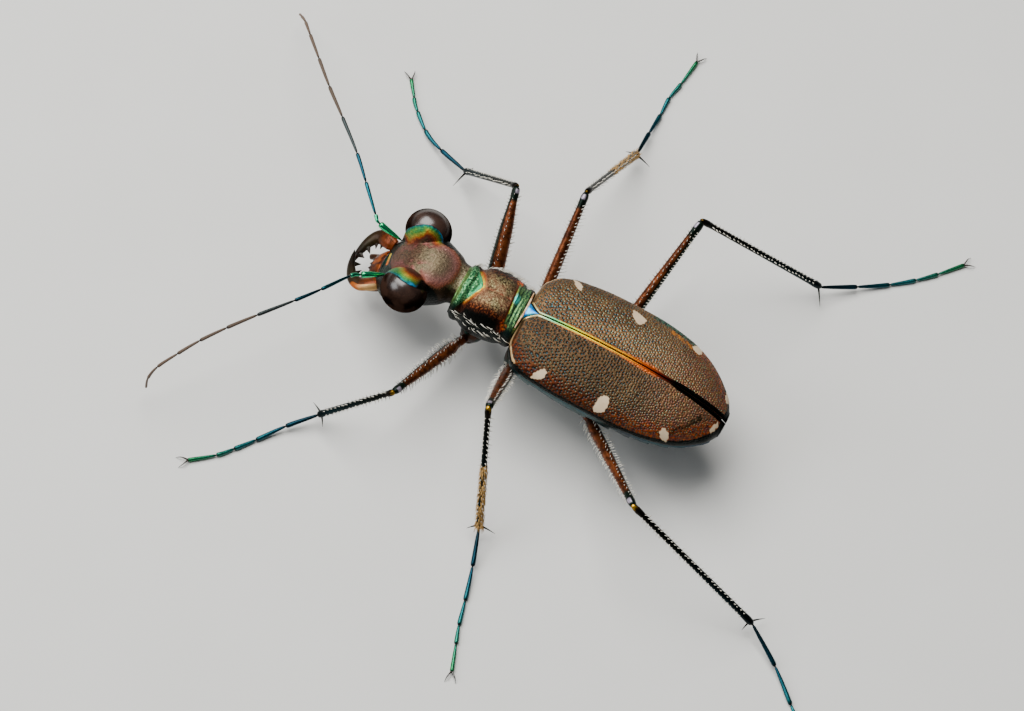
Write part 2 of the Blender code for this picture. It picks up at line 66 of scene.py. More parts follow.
eye_point += (BODY_PIXEL[1] - PICTURE[1] / 2) / focal * distance * upward
lens = bpy.data.cameras.new("camera")
lens.sensor_width = 36
lens.lens = focal / PICTURE[0] * lens.sensor_width
lens.clip_start = 0.01
camera = bpy.data.objects.new("camera", lens)
camera.matrix_world = Matrix((
    (right.x, upward.x, toward.x, eye_point.x),
    (right.y, upward.y, toward.y, eye_point.y),
    (right.z, upward.z, toward.z, eye_point.z),
    (0, 0, 0, 1),
))
bpy.context.scene.collection.objects.link(camera)
bpy.context.scene.camera = camera


# Studio: one wide soft lamp over the beetle's right side and head, a small weak one at the front
# left, and a dim grey room, so that metal and lacquer show broad highlights.
def soft_lamp(name, place, side, watts, colour):
    """A square lamp at a place in metres, turned to face the beetle's back."""
    lamp = bpy.data.lights.new(name, "AREA")
    lamp.size = side
    lamp.energy = watts
    lamp.color = colour
    stand = bpy.data.objects.new(name, lamp)
    stand.location = place
    stand.rotation_euler = Vector(place).to_track_quat("Z", "Y").to_euler()
    bpy.context.scene.collection.objects.link(stand)


soft_lamp("key_lamp", (-0.050, -0.118, 0.228), 0.22, 1.25, (1.0, 0.985, 0.96))
soft_lamp("fill_lamp", (0.108, -0.189, 0.135), 0.13, 0.30, (0.96, 0.98, 1.0))
room = bpy.data.worlds.new("room")
room.use_nodes = True
room.node_tree.nodes["Background"].inputs["Color"].default_value = (0.86, 0.90, 0.94, 1)
room.node_tree.nodes["Background"].inputs["Strength"].default_value = 0.07
bpy.context.scene.world = room


# Floor: a sheet of pale matt card under the feet. It isn't part of the beetle.
class Wire:
    """A node's output. Arithmetic on it adds Math nodes, so a pattern reads as a formula."""

    def __init__(self, paint, socket):
        self.paint = paint
        self.socket = socket

    def maths(self, operation, *values):
        return self.paint.node("Math", {"operation": operation}, dict(enumerate(values)))

    def __add__(self, other):
        return self.maths("ADD", self, other)

    def __sub__(self, other):
        return self.maths("SUBTRACT", self, other)

    def __rsub__(self, other):
        return self.maths("SUBTRACT", other, self)

    def __mul__(self, other):
        return self.maths("MULTIPLY", self, other)

    def __truediv__(self, other):
        return self.maths("DIVIDE", self, other)

    def __pow__(self, other):
        return self.maths("POWER", self, other)

    __radd__ = __add__
    __rmul__ = __mul__

    def size(self):
        return self.maths("ABSOLUTE", self)

    def wave(self):
        return self.maths("SINE", self)

    def square(self):
        return self.maths("MULTIPLY", self, self)

    def tinted(self, share, colour):
        """This colour, turned to another one where the share is 1."""
        return self.paint.blend(share, self, colour)

    def ease(self, low, high):
        """0 below low and 1 above high, or the other way where low is the larger."""
        values = {"Value": self, "From Min": low, "From Max": high}
        return self.paint.node("MapRange", {"interpolation_type": "SMOOTHSTEP"}, values)


class Paint:
    """A material in the making: a Principled surface and the nodes that feed it."""

    def __init__(self, name, **fixed):
        self.material = bpy.data.materials.new(name)
        self.material.use_nodes = True
        self.tree = self.material.node_tree
        self.surface = self.tree.nodes["Principled BSDF"]
        for socket, value in fixed.items():
            self.surface.inputs[socket.replace("_", " ")].default_value = value

    def feed(self, socket, value):
        if isinstance(value, Wire):
            self.tree.links.new(value.socket, socket)
        elif isinstance(value, tuple) and len(value) == 3 and socket.type == "RGBA":
            socket.default_value = (*dye(value), 1.0)
        else:
            socket.default_value = value

    def node(self, kind, settings=None, values=None, out=0):
        """Adds a node of a kind, with its settings and then the values or wires of its sockets."""
        made = self.tree.nodes.new("ShaderNode" + kind)
        for name, value in (settings or {}).items():
            if name == "stops":
                for place, colour in value[len(made.color_ramp.elements):]:
                    made.color_ramp.elements.new(place)
                for stop, (place, colour) in zip(made.color_ramp.elements, value):
                    stop.position = place
                    stop.color = (*dye(colour), 1.0)
            else:
                setattr(made, name, value)
        for name, value in (values or {}).items():
            self.feed(made.inputs[name], value)
        return Wire(self, made.outputs[out])

    def blend(self, share, first, second):
        """The first colour where the share is 0, and the second where it is 1."""
        return self.node("Mix", {"data_type": "RGBA"}, {0: share, 6: first, 7: second}, out=2)

    def speckle(self, grain, low, high, first, second):
        """Two colours in blotches a grain across; the closer low and high, the sharper."""
        return self.blend(self.mottle(grain).ease(low, high), first, second)

    def ramp(self, value, *stops):
        """A colour read off a line of (place, colour) stops from 0 to 1, in rising order."""
        return self.node("ValToRGB", {"stops": sorted(stops, key=lambda stop: stop[0])}, {"Fac": value})

    def place(self):
        """The point on the piece, in metres."""
        return self.node("TexCoord", out="Object")

    def mark(self, name, out="Fac"):
        """A mark kept on the mesh, as a number, or as a vector with out="Vector"."""
        return self.node("Attribute", {"attribute_name": name}, out=out)

    def parts(self, vector):
        """The three numbers of a vector."""
        first = self.node("SeparateXYZ", values={0: vector})
        return first, *(Wire(self, first.socket.node.outputs[axis]) for axis in (1, 2))

    def mottle(self, grain, detail=3.0, rough=0.5):
        """Soft noise about 0.5 whose blotches are about a grain across, in millimetres."""
        values = {"Vector": self.place(), "Scale": 1000 / grain, "Detail": detail, "Roughness": rough}
        return self.node("TexNoise", values=values)

    def cells(self, grain):
        """Distance to the nearest of scattered points about a grain apart, in cell widths."""
        values = {"Vector": self.place(), "Scale": 1000 / grain}
        return self.node("TexVoronoi", {"feature": "F1"}, values, out="Distance")

    def relief(self, height, depth, under=None):
        """A bump: the surface rises by depth millimetres where the height goes from 0 to 1."""
        values = {"Height": height, "Distance": depth * MM, "Strength": 1.0}
        if under:
            values["Normal"] = under
        return self.node("Bump", values=values)

    def finish(self, **fed):
        for socket, value in fed.items():
            self.feed(self.surface.inputs[socket.replace("_", " ")], value)
        return self.material


def dye(colour):
    """A colour given as 0 to 255 on a screen, in the renderer's linear light."""
    shades = np.array(colour) / 255
    linear = np.where(shades < 0.04045, shades / 12.92, ((shades + 0.055) / 1.055) ** 2.4)
    return tuple(float(x) for x in linear)


card = Paint("card", Roughness=0.9)
card.finish(Base_Color=card.blend(card.mottle(6.0), (226, 226, 222), (233, 233, 230)))
sheet = bpy.data.meshes.new("floor")
reach = 0.6
card_corners = [(-reach, -reach, 0), (reach, -reach, 0), (reach, reach, 0), (-reach, reach, 0)]
sheet.from_pydata(card_corners, [], [(0, 1, 2, 3)])
sheet.materials.append(card.material)
floor = bpy.data.objects.new("floor", sheet)
bpy.context.scene.collection.objects.link(floor)


# Trunk: the hard underside of thorax and abdomen, a bowl of dark metallic plates that overlap
# toward the tail, with a soft roof hidden under the wing cases and a neck toward the pronotum.
WING_Y = (-0.1, 0.15, 0.6, 1.6, 3.6, 5.3, 6.5, 7.4, 8.05, 8.45, 8.66)
WING_HALF = (1.75, 2.08, 2.32, 2.50, 2.58, 2.51, 2.27, 1.88, 1.38, 0.96, 0.58)
WING_TOP = (4.22, 4.30, 4.40, 4.52, 4.60, 4.52, 4.36, 4.12, 3.88, 3.68, 3.52)
BELLY_Y = (-0.1, 0.6, 1.8, 3.2, 4.5, 6.0, 7.2, 8.2, 8.5)
BELLY_Z = (2.00, 1.62, 1.38, 1.32, 1.42, 1.62, 2.00, 2.62, 2.86)
PLATE_EDGES = (1.15, 3.72, 4.75, 5.6, 6.4, 7.15, 7.75)


def through(y, stations, values):
    """A smooth curve through values at stations: cubic pieces that take their slopes from them."""
    stations, values = np.asarray(stations, float), np.asarray(values, float)
    slopes = np.gradient(values, stations)
    i = np.clip(np.searchsorted(stations, y) - 1, 0, len(stations) - 2)
    span = stations[i + 1] - stations[i]
    t = np.clip((y - stations[i]) / span, 0, 1)
    return ((2 * t ** 3 - 3 * t ** 2 + 1) * values[i] + (t ** 3 - 2 * t ** 2 + t) * span * slopes[i]
            + (3 * t ** 2 - 2 * t ** 3) * values[i + 1] + (t ** 3 - t ** 2) * span * slopes[i + 1])


def rise(x, low, high):
    """0 at low and 1 at high, with a smooth S between: 3t^2 - 2t^3."""
    t = np.clip((x - low) / (high - low), 0, 1)
    return t * t * (3 - 2 * t)


def circle(sides):
    """A row of turns from 0 up to a full one."""
    return np.linspace(0, 2 * pi, sides, endpoint=False)[None]


def rings_of(x, y, z):
    """Rings of points from coordinates that are grids, rows or columns."""
    return np.stack(np.broadcast_arrays(x, y, z), axis=2)


def squared(wave, power):
    """A sine or cosine made squarer: its sign times its size to a power below 1."""
    return np.sign(wave) * np.abs(wave) ** power


def unit(vectors):
    """Each vector brought to length 1."""
    return vectors / np.linalg.norm(vectors, axis=1)[:, None]


def travelled(path):
    """The share of a path's length that lies behind each of its points."""
    steps = np.linalg.norm(np.diff(path, axis=0), axis=1)
    return np.concatenate([[0], np.cumsum(steps)]) / steps.sum()


def new_piece(name, points, corners, sizes):
    """An object at the origin whose mesh has these points, face corners and face sizes."""
    mesh = bpy.data.meshes.new(name)
    mesh.vertices.add(len(points))
    mesh.vertices.foreach_set("co", ((points + BODY) * MM).ravel())
    mesh.loops.add(len(corners))
    mesh.loops.foreach_set("vertex_index", corners.astype(np.int32))
    mesh.polygons.add(len(sizes))
    starts = np.concatenate([[0], np.cumsum(sizes)[:-1]])
    mesh.polygons.foreach_set("loop_start", starts.astype(np.int32))
    mesh.update(calc_edges=True)
    piece = bpy.data.objects.new(name, mesh)
    bpy.context.scene.collection.objects.link(piece)
    return piece


def closed_mesh(name, parts, flat_ends=False):
    """One mesh of closed skins. A skin is rings of points, row by row, with a dict of marks.

    Ring i joins ring i + 1 all the way round, and the end rings close on their middle point, or
    with one flat face. A mark has a number or a vector per point, kept as an attribute.
    """
    points, corners, sizes, marks, base = [], [], [], {}, 0
    for rings, values in parts:
        rows, sides = rings.shape[:2]
        grid = base + np.arange(rows * sides).reshape(rows, sides)
        beside = np.roll(grid, -1, axis=1)
        quads = np.stack([grid[:-1], beside[:-1], beside[1:], grid[1:]], axis=2).reshape(-1, 4)
        corner = (rings - rings.mean(axis=(0, 1))).reshape(-1, 3)[quads - base]
        facing = np.cross(corner[:, 1] - corner[:, 0], corner[:, 2] - corner[:, 0])
        inside_out = (corner[:, 0] * facing).sum() < 0
        poles = base + rows * sides + np.arange(0 if flat_ends else 2)
        if flat_ends:
            caps = [beside[0][::-1], grid[-1]]
            faces = [(quads, 4)] + [(cap[None], sides) for cap in caps]
        else:
            first = np.stack([beside[0], grid[0], np.full(sides, poles[0])], axis=1)
            last = np.stack([grid[-1], beside[-1], np.full(sides, poles[1])], axis=1)
            faces = [(quads, 4), (first, 3), (last, 3)]
        for group, size in faces:
            corners.append((group[:, ::-1] if inside_out else group).ravel())
            sizes.append(np.full(len(group), size))
        ends = rings[[0, -1]].mean(axis=1)[:len(poles)]
        points.append(np.concatenate([rings.reshape(-1, 3), ends]))
        for key, value in values.items():
            value = np.broadcast_to(value, rings.shape if np.ndim(value) == 3 else rings.shape[:2])
            flat = value.reshape(rows * sides, -1)
            tips = value[[0, -1]].mean(axis=1).reshape(2, -1)[:len(poles)]
            marks.setdefault(key, []).append(np.concatenate([flat, tips]))
        base += rows * sides + len(poles)
    piece = new_piece(name, *(np.concatenate(each) for each in (points, corners, sizes)))
    mesh = piece.data
    mesh.validate()
    mesh.shade_smooth()
    for key, value in marks.items():
        value = np.concatenate(value).astype(np.float32)
        kind, field = ("FLOAT", "value") if value.shape[1] == 1 else ("FLOAT_VECTOR", "vector")
        mesh.attributes.new(key, kind, "POINT").data.foreach_set(field, value.ravel())
    return piece


def fit(piece, material, slot, *nodes):
    """Gives a piece its material and puts it on the body in place of solid nodes. The slot is not used.
    """
    piece.data.materials.append(material)
    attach(piece, "root")
    if nodes:
        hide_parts(*nodes)


y = np.linspace(-0.45, 8.50, 300)[:, None]
turn = circle(180)
half = through(y, WING_Y, WING_HALF)
top = through(y, WING_Y, WING_TOP)
depth = 0.85 * (half / max(WING_HALF)) ** 0.6
rim = top - depth * (1 + sin(radians(28))) - 0.1
low = through(y, BELLY_Y, BELLY_Z)
plate = np.ones_like(y)
for start, end in zip(PLATE_EDGES, PLATE_EDGES[1:] + (8.7,)):
    plate = np.where(y > start, 0.972 + 0.028 * rise(y, start + 0.03, end), plate)
    plate = np.where(y > start, 1 - (1 - plate) * rise(y, start, start + 0.05), plate)
neck = 0.6 + 0.4 * rise(y, -0.42, 0.12)
below = np.clip(-np.sin(turn), 0, None)
above = np.clip(np.sin(turn), 0, None)
around = np.arccos(np.clip(np.abs(np.cos(turn)), 0, 1)) / (pi / 2) * (np.sin(turn) < 0)
seam = np.exp(-((around - 0.52 + 0.07 * (y - 0.9)) / 0.018) ** 2) * (y > 1.15) * (y < 3.7)
seam = seam + np.exp(-((1 - around) / 0.012) ** 2) * (y > 1.4) * (y < 3.5)
seam = seam + np.exp(-((around - 0.30) / 0.016) ** 2) * (y > 3.8) * (y < 8.0)
full = 1 - (1 - plate) * rise(below, 0.0, 0.3) - 0.018 * seam
x = 0.93 * half * neck * full * np.cos(turn)
z = rim - (rim - low) * full * neck ** 0.5 * below + (top - 0.5 - rim) * above * (0.75 + 0.25 * neck)
rings = rings_of(x, y, z)
trunk = closed_mesh("trunk", [(rings, {"seam": seam, "round": around})])
shell = Paint("belly_shell", Metallic=0.8, Coat_Weight=0.1, Coat_Roughness=0.2, Specular_IOR_Level=0.25)
rear = shell.parts(shell.place())[1].ease(0.001, 0.0055)
dark = shell.blend(rear, (20, 52, 44), (28, 30, 62))
tint = shell.speckle(0.9, 0.42, 0.62, dark, (24, 66, 72))
pricks = shell.cells(0.13).ease(0.32, 0.12)
tint = tint.tinted(pricks * 0.7, (10, 14, 16))
tint = tint.tinted(shell.mark("seam"), (6, 8, 9))
trunk_relief = shell.relief(1 - pricks, 0.008, shell.relief(shell.mottle(0.05), 0.002))
shell.finish(Base_Color=tint, Roughness=shell.mottle(0.2) * 0.2 + 0.28, Normal=trunk_relief)
fit(trunk, shell.material, "belly", "thorax", "abdomen")


# Scutellum: the small bright blue triangle of lacquered shell between the bases of the wing
# cases, and in front of it the cream lip that crosses the whole waist.
y = np.linspace(-0.32, 0.24, 70)[:, None]
turn = circle(64)
share = (y + 0.32) / 0.56
half = 0.44 * np.clip(1 - share, 0, 1) ** 1.25 + 0.014
top = 4.20 + 0.10 * share
x = half * squared(np.cos(turn), 0.7)
z = top - 0.15 + 0.15 * squared(np.sin(turn), 0.6) - 0.10 * (x / 0.5) ** 2
rings = rings_of(x, y, z)
triangle = (rings, {"lip": 0.0 * z})
u = np.linspace(-1, 1, 70)[:, None]
x = 0.86 * u + 0.022 * np.sin(turn) * u
y = -0.305 + 0.045 * np.cos(turn) * (1 - 0.6 * np.abs(u) ** 3) + 0.03 * np.cos(2.2 * u)
z = 4.19 - 0.21 * u ** 2 + 0.045 * np.sin(turn) * (1 - 0.6 * np.abs(u) ** 3)
rings = rings_of(x, y, z)
scutellum = closed_mesh("scutellum_shell", [triangle, (rings, {"lip": 1.0 + 0 * z})])
blue = Paint("scutellum_blue", Roughness=0.3, Coat_Weight=0.1, Specular_IOR_Level=0.25)
shade = blue.speckle(0.16, 0.35, 0.7, (10, 118, 208), (70, 205, 240))
cream = blue.mark("lip")
shade = shade.tinted(cream, blue.speckle(0.2, 0.4, 0.6, (236, 206, 168), (190, 140, 96)))
blue.finish(Base_Color=shade, Metallic=0.5 - cream * 0.4, Normal=blue.relief(blue.mottle(0.03), 0.002))
fit(scutellum, blue.material, "scutellum", "scutellum")


# Wing cases: two hard half domes that meet along the back, pitted all over. Every pit holds a
# blue-green glint in a copper-edged hollow: the glint, set a little outward of the pit's middle,
# is partly its own colour and partly a painted highlight, and the hollow is darkened as painted
# shade. Ivory spots lie smooth between them, and a double bead of green, gold and copper runs
# down the seam and turns black toward the tail.
SPOTS = {
    "left": (
        ((1.94, 1.56), (2.11, 1.67), (2.43, 1.60), (2.57, 1.26), (2.56, 1.11), (2.15, 1.26)),
        ((1.97, 3.90), (1.82, 4.03), (1.79, 4.19), (1.91, 4.34), (2.42, 4.36), (2.62, 4.11),
         (2.62, 3.86)),
        ((1.95, 6.56), (1.72, 6.68), (1.82, 6.97), (2.18, 7.06), (2.23, 6.76)),
        ((0.43, 8.30), (0.15, 8.45), (0.26, 8.55), (0.80, 8.40), (0.81, 8.27)),
    ),
    "right": (
        ((2.47, 0.73), (1.91, 1.00), (1.76, 1.25), (1.99, 1.30), (2.30, 1.14)),
        ((2.24, 3.44), (1.90, 3.47), (1.53, 3.84), (1.64, 4.05), (1.99, 4.13)),
        ((2.03, 6.15), (1.84, 6.31), (1.85, 6.62), (2.33, 6.60), (2.42, 6.32)),
        ((1.37, 8.14), (0.74, 8.25), (0.60, 8.47), (1.02, 8.47), (1.17, 8.35)),
    ),
}
DEEP_PITS = {
    "left": ((0.50, 0.63), (0.76, 0.55), (0.67, 0.95), (0.70, 1.35), (1.63, 0.74), (1.61, 0.99)),
    "right": ((0.53, 0.56), (0.67, 0.83), (0.75, 1.20), (1.60, 0.80)),
}


def scattered(across, along, seed):
    """Jittered points in staggered rows one unit apart: the distance to the nearest, a number
    from 0 to 1 that belongs to it, and the distance to a place a little outward of it."""
    row_gap, jitter = 0.866, 0.55
    shake = np.random.default_rng(seed).random((97, 101, 3))
    row = np.floor(along / row_gap)
    nearest, owner, beside = (np.full(across.shape, 9.0) for _ in range(3))
    for up in (-1, 0, 1):
        line = (row + up).astype(int)
        column = np.floor(across - 0.5 * (line % 2))
        for side in (-1, 0, 1, 2):
            place = (column + side).astype(int)
            move = shake[line % 97, place % 101]
            x = across - place - 0.5 * (line % 2) - jitter * (move[..., 0] - 0.5)
            y = along - (line + jitter * (move[..., 1] - 0.5)) * row_gap
            far = np.hypot(x, y)
            owner = np.where(far < nearest, move[..., 2], owner)
            beside = np.where(far < nearest, np.hypot(x - 0.09, y - 0.05), beside)
            nearest = np.minimum(nearest, far)
    return nearest, owner, beside


def within(across, along, corners):
    """How far a place lies outside a convex spot: the largest distance past any of its sides."""
    corners = np.array(corners)
    sides = np.roll(corners, -1, axis=0) - corners
    spin = np.sign(np.cross(sides[0], sides[1]))
    outward = unit(np.column_stack([sides[:, 1], -sides[:, 0]])) * spin
    far = [(across - x) * u + (along - y) * v for (x, y), (u, v) in zip(corners, outward)]
    sharpness = 22
    return np.log(np.sum([np.exp(sharpness * each) for each in far], axis=0)) / sharpness


def wing_case(side, name, seed):
    """Rings across one wing case at each y: x = half sin a and z = top - depth (1 - cos a), with
    a from the seam round to 118 degrees, then back along the inner face; and its marks."""
    turned, thick = radians(118), 0.17
    y = np.linspace(-0.26, WING_Y[-1], 438)
    y = np.concatenate([y, WING_Y[-1] + 0.07 * np.sin(np.linspace(0.2, pi / 2, 6))])[:, None]
    tip = np.sqrt(np.clip(1 - ((y - WING_Y[-1]) / 0.07).clip(0, 0.995) ** 2, 0, 1))
    front = (-0.1 - y).clip(0, None)
    half = (through(y, WING_Y, WING_HALF) - 9 * front ** 1.5) * (0.25 + 0.75 * tip)
    top = through(y, WING_Y, WING_TOP) - 5 * front ** 1.5 - 0.06 * (1 - tip)
    depth = 0.85 * (half / max(WING_HALF)) ** 0.6
    notch = 0.46 * (1 - ((y + 0.3) / 0.58).clip(0, 1)) ** 1.25
    gap = 0.010 + 0.03 * rise(y, 5.6, 8.6) + notch
    start = np.arcsin((gap / half).clip(0, 0.9))
    share = np.concatenate([np.linspace(0, 0.045, 14, endpoint=False),
                            np.linspace(0.045, 1, 190)])[None]
    a = start + (turned - start) * share
    arc = np.hypot(half * np.cos(a), depth * np.sin(a))
    arc = 0.5 * (arc[:, 1:] + arc[:, :-1]) * np.diff(a, axis=1)
    arc = np.cumsum(np.concatenate([0 * start, arc], axis=1), axis=1)
    along = y + 0 * a
    edge = arc[:, -1:] - arc

    grain = 0.150 - 0.036 * rise(y, 2.0, 6.2)
    rows = np.cumsum(np.concatenate([[[0.0]], np.diff(y, axis=0) / grain[1:]]), axis=0)
    pit, owner, beside = scattered(arc / grain + 3, rows + 0 * a, seed)
    size = 0.25 + 0.10 * owner
    for at, where in DEEP_PITS[name]:
        far = np.hypot(arc - at, along - where) / 0.19
        owner = np.where(far < pit, 0.95, owner)
        size = np.where(far < pit, 0.36, size)
        beside = np.where(far < pit, np.hypot(arc - at - 0.015, along - where - 0.01) / 0.19, beside)
        pit = np.minimum(pit, far)
    shake = 0.012 * np.sin(arc * 31 + along * 17) + 0.010 * np.sin(along * 43 - arc * 23)
    outside = np.min([within(arc, along, corners) for corners in SPOTS[name]], axis=0) + shake
    spot = rise(outside, 0.012, -0.014)
    calm = (1 - rise(outside, 0.05, 0.0)) * rise(arc, 0.10, 0.14) * rise(edge, 0.40, 0.55)
    calm = calm * rise(along, -0.22, 0.05) * rise(along, 8.62, 8.45)
    hollow = rise(pit, size * 1.25, size * 0.55) * calm
    glint = rise(beside, 0.19, 0.09) * calm
    ring = rise(pit, size * 1.75, size * 1.25) * (1 - hollow) * calm

    bead = np.exp(-((arc - 0.052) / 0.026) ** 2) * rise(y, -0.2, 0.1) * rise(y, 8.5, 7.0)
    out = 0.024 * bead - 0.05 * rise(arc, 0.030, 0.0) - 0.022 * hollow
    out = out + 0.012 * np.sin(arc * 2.1) * rise(arc, 0.3, 1.2) * rise(edge, 0.3, 0.42)
    x = half * np.sin(a) + out * np.sin(a)
    z = top - depth * (1 - np.cos(a)) + out * np.cos(a)
    inner = np.linspace(radians(116), 0, 12)[None] + np.linspace(0, 1, 12)[None] * start
    x_in = np.maximum((half - thick) * np.sin(inner), gap + 0.004)
    z_in = top - thick - (depth - 0.05) * (1 - np.cos(inner))
    x, z = np.concatenate([x, x_in], axis=1), np.concatenate([z, z_in], axis=1)
    rings = rings_of(side * x, y, z)
    marks = {"pit": hollow, "ring": ring, "owner": owner, "spot": spot, "glint": glint, "calm": calm}
    marks["lay"] = np.stack([arc, along, edge], axis=2)
    for key, value in marks.items():
        marks[key] = np.pad(value, ((0, 0), (0, 12)) + ((0, 0),) * (value.ndim - 2), mode="edge")
    return rings, marks


case = Paint("wing_case", Coat_Weight=0.0, Specular_IOR_Level=0.2)
arc, along, inward = case.parts(case.mark("lay", "Vector"))
left = case.parts(case.place())[0].ease(0.0004, 0.0016)
fine = case.mottle(0.055, detail=2.0)
speck = case.mottle(0.13, detail=2.0)
cloud = case.mottle(1.3, detail=2.0)
ground = case.blend(fine.ease(0.35, 0.65), (90, 68, 42), (152, 120, 82))
ground = ground.tinted(cloud.ease(0.48, 0.66) * 0.7, case.blend(fine, (52, 42, 28), (104, 84, 58)))
rear = along.ease(4.6, 7.2)
ground = ground.tinted(rear * speck.ease(0.35, 0.6) * 0.6, (140, 92, 76))
side_glow = (1 - inward.ease(0.85, 1.75)) * (left * 0.85 + 0.15)
warm = side_glow + (1 - inward.ease(0.9, 1.6)) * rear * 0.5 + arc.ease(0.9, 0.3) * 0.12
warm = (warm * (case.mottle(0.5) * 1.6 - 0.1)).ease(0.05, 0.9)
ground = ground.tinted(warm, case.blend(speck.ease(0.35, 0.65), (82, 30, 12), (196, 96, 36)))
copper_ring = case.speckle(0.2, 0.4, 0.6, (150, 84, 46), (112, 62, 66))
ground = ground.tinted(case.mark("ring") * (warm * 0.5 + rear * 0.3 + 0.35), copper_ring)
# Painted shade: each pit's hollow is darkened.
ground = ground.tinted(case.mark("pit") * 0.85, case.blend(warm, (30, 28, 22), (18, 8, 4)))
owner = case.mark("owner")
cool = case.ramp(owner, (0.0, (84, 140, 134)), (0.35, (120, 160, 130)), (0.65, (56, 116, 122)),
                 (0.85, (70, 136, 146)), (1.0, (64, 140, 158)))
mixed = case.ramp(owner, (0.0, (96, 170, 150)), (0.3, (150, 184, 132)), (0.5, (206, 176, 96)),
                  (0.7, (196, 128, 104)), (0.85, (90, 150, 150)), (1.0, (200, 200, 150)))
# Partly painted highlight: each pit's glint, a little outward of its middle, is its own blue-green or
# gold brightened as a highlight.
ground = ground.tinted(case.mark("glint") * 0.8, case.blend(rear * 0.9, cool, mixed))
# Painted shade: the left case darkens toward its front and a little all over, and the right case a
# little toward its front.
shade = left * along.ease(7.2, 3.6) * 0.62 + (1 - left) * along.ease(4.5, 0.5) * 0.25 + left * 0.08
ground = ground.tinted(shade, (10, 5, 2))

wave = (along + arc * 0.62 - 8.1 + (case.mottle(0.4) - 0.5) * 0.5).size().ease(0.16, 0.04)
wave = wave * left * arc.ease(0.3, 0.5) * arc.ease(1.9, 1.6) * along.ease(6.8, 7.0)
wave = wave * case.mottle(0.16).ease(0.25, 0.6)
ground = ground.tinted(wave * 0.85, (20, 26, 12))
strip = (inward + (case.mottle(0.5) - 0.5) * 0.3).ease(1.10, 0.92)
strip = strip * along.ease(4.0, 4.6) * along.ease(6.7, 6.2) * (1 - left)
strip_colour = case.speckle(0.12, 0.4, 0.6, (14, 36, 30), (40, 110, 92))
ground = ground.tinted(strip * 0.85, strip_colour)
gold_line = (inward - 1.16 + (case.mottle(0.3) - 0.5) * 0.3).size().ease(0.14, 0.02) * (1 - left)
gold_line = gold_line * along.ease(4.8, 5.4) * along.ease(6.7, 6.1)
gold_line = gold_line * case.mottle(0.14).ease(0.35, 0.6)
ground = ground.tinted(gold_line, (226, 138, 40))

# Painted shade, partly the case's own dark underside: the outer margins, the rear of the outer edge,
# the tip and the seam's end turn near black.
side_dark = inward.ease(0.72, 0.62) + arc.ease(0.42, 0.30) * along.ease(8.46, 8.58)
side_dark = side_dark + along.ease(8.50, 8.60) + along.ease(8.0, 8.3) * inward.ease(0.86, 0.66)
ground = ground.tinted(side_dark.ease(0.1, 0.9), case.blend(cloud, (3, 5, 4), (8, 18, 14)))
shoulder = inward.ease(0.60, 0.66) * inward.ease(0.80, 0.72) * along.ease(0.42, 0.25)
shoulder = shoulder + along.ease(-0.17, -0.22)
ground = ground.tinted(shoulder.ease(0.1, 0.9), (216, 180, 130))
ivory = case.blend(case.mottle(0.3), (226, 204, 170), (196, 172, 140))
ground = ground.tinted(case.mark("spot"), ivory)

bead = arc.ease(0.105, 0.085)
fringe = arc.ease(along.ease(3.6, 5.0) * 0.14 + 0.16, 0.085) * along.ease(0.4, 1.2)
fringe = fringe * along.ease(5.9, 5.2) * (case.mottle(0.12) * 1.2 + 0.1)
ground = ground.tinted(fringe.ease(0.1, 0.9), (206, 96, 24))
bright = case.ramp(along / 8.7, (0.0, (238, 208, 140)), (0.04, (214, 226, 180)),
                   (0.10, (110, 204, 150)), (0.18, (196, 220, 90)), (0.28, (244, 204, 50)),
                   (0.46, (246, 172, 40)), (0.56, (214, 96, 30)), (0.64, (120, 34, 16)),
                   (0.72, (20, 9, 7)))
ground = ground.tinted(bead, bright)
night = (along.ease(5.3, 6.6) * 0.155 - arc).ease(-0.012, 0.012) * (1 - bead * along.ease(6.6, 5.8))
ground = ground.tinted(night, (9, 7, 6))
ground = ground.tinted(arc.ease(0.026, 0.014), (14, 14, 8))
metal = (0.7 + case.mark("glint") * 0.1) * (1 - case.mark("spot") * 0.9) + night * 0.3
rough = 0.48 - case.mark("glint") * 0.14 - bead * 0.16
case.finish(Base_Color=ground, Metallic=metal, Roughness=rough, Normal=case.relief(fine, 0.004))
for name, side, seed in (("left", 1, 5), ("right", -1, 11)):
    piece = closed_mesh(f"elytron_{name}_case", [wing_case(side, name, seed)], flat_ends=True)
    fit(piece, case.material, "elytra", f"elytron_{name}")


# Pronotum: the coppery shield between head and wing cases, with a green front collar that runs
# back in a V between the two lobes of its disc, a line down the middle, and a rear collar.
SHIELD_Y = (-3.0, -2.92, -2.72, -2.58, -2.3, -1.7, -1.1, -0.82, -0.66, -0.5, -0.36, -0.26)
SHIELD_HALF = (1.04, 1.14, 1.20, 1.15, 1.31, 1.42, 1.38, 1.31, 1.22, 1.25, 1.24, 1.16)
SHIELD_TOP = (4.00, 4.10, 4.15, 4.10, 4.27, 4.40, 4.38, 4.31, 4.21, 4.22, 4.20, 4.12)
SHIELD_LOW = (2.35, 2.22, 2.12, 2.10, 2.02, 1.95, 1.95, 1.98, 2.00, 2.02, 2.08, 2.16)


def hull(y, turn, stations, half, top, low, middle, power):
    """Upright rings: x = middle + half cos^power, z = halfway + half the height times sin^power."""
    high, base = through(y, stations, top), through(y, stations, low)
    x = middle + through(y, stations, half) * squared(np.cos(turn), power)
    z = (high + base) / 2 + (high - base) / 2 * squared(np.sin(turn), power)
    return rings_of(x, y, z)


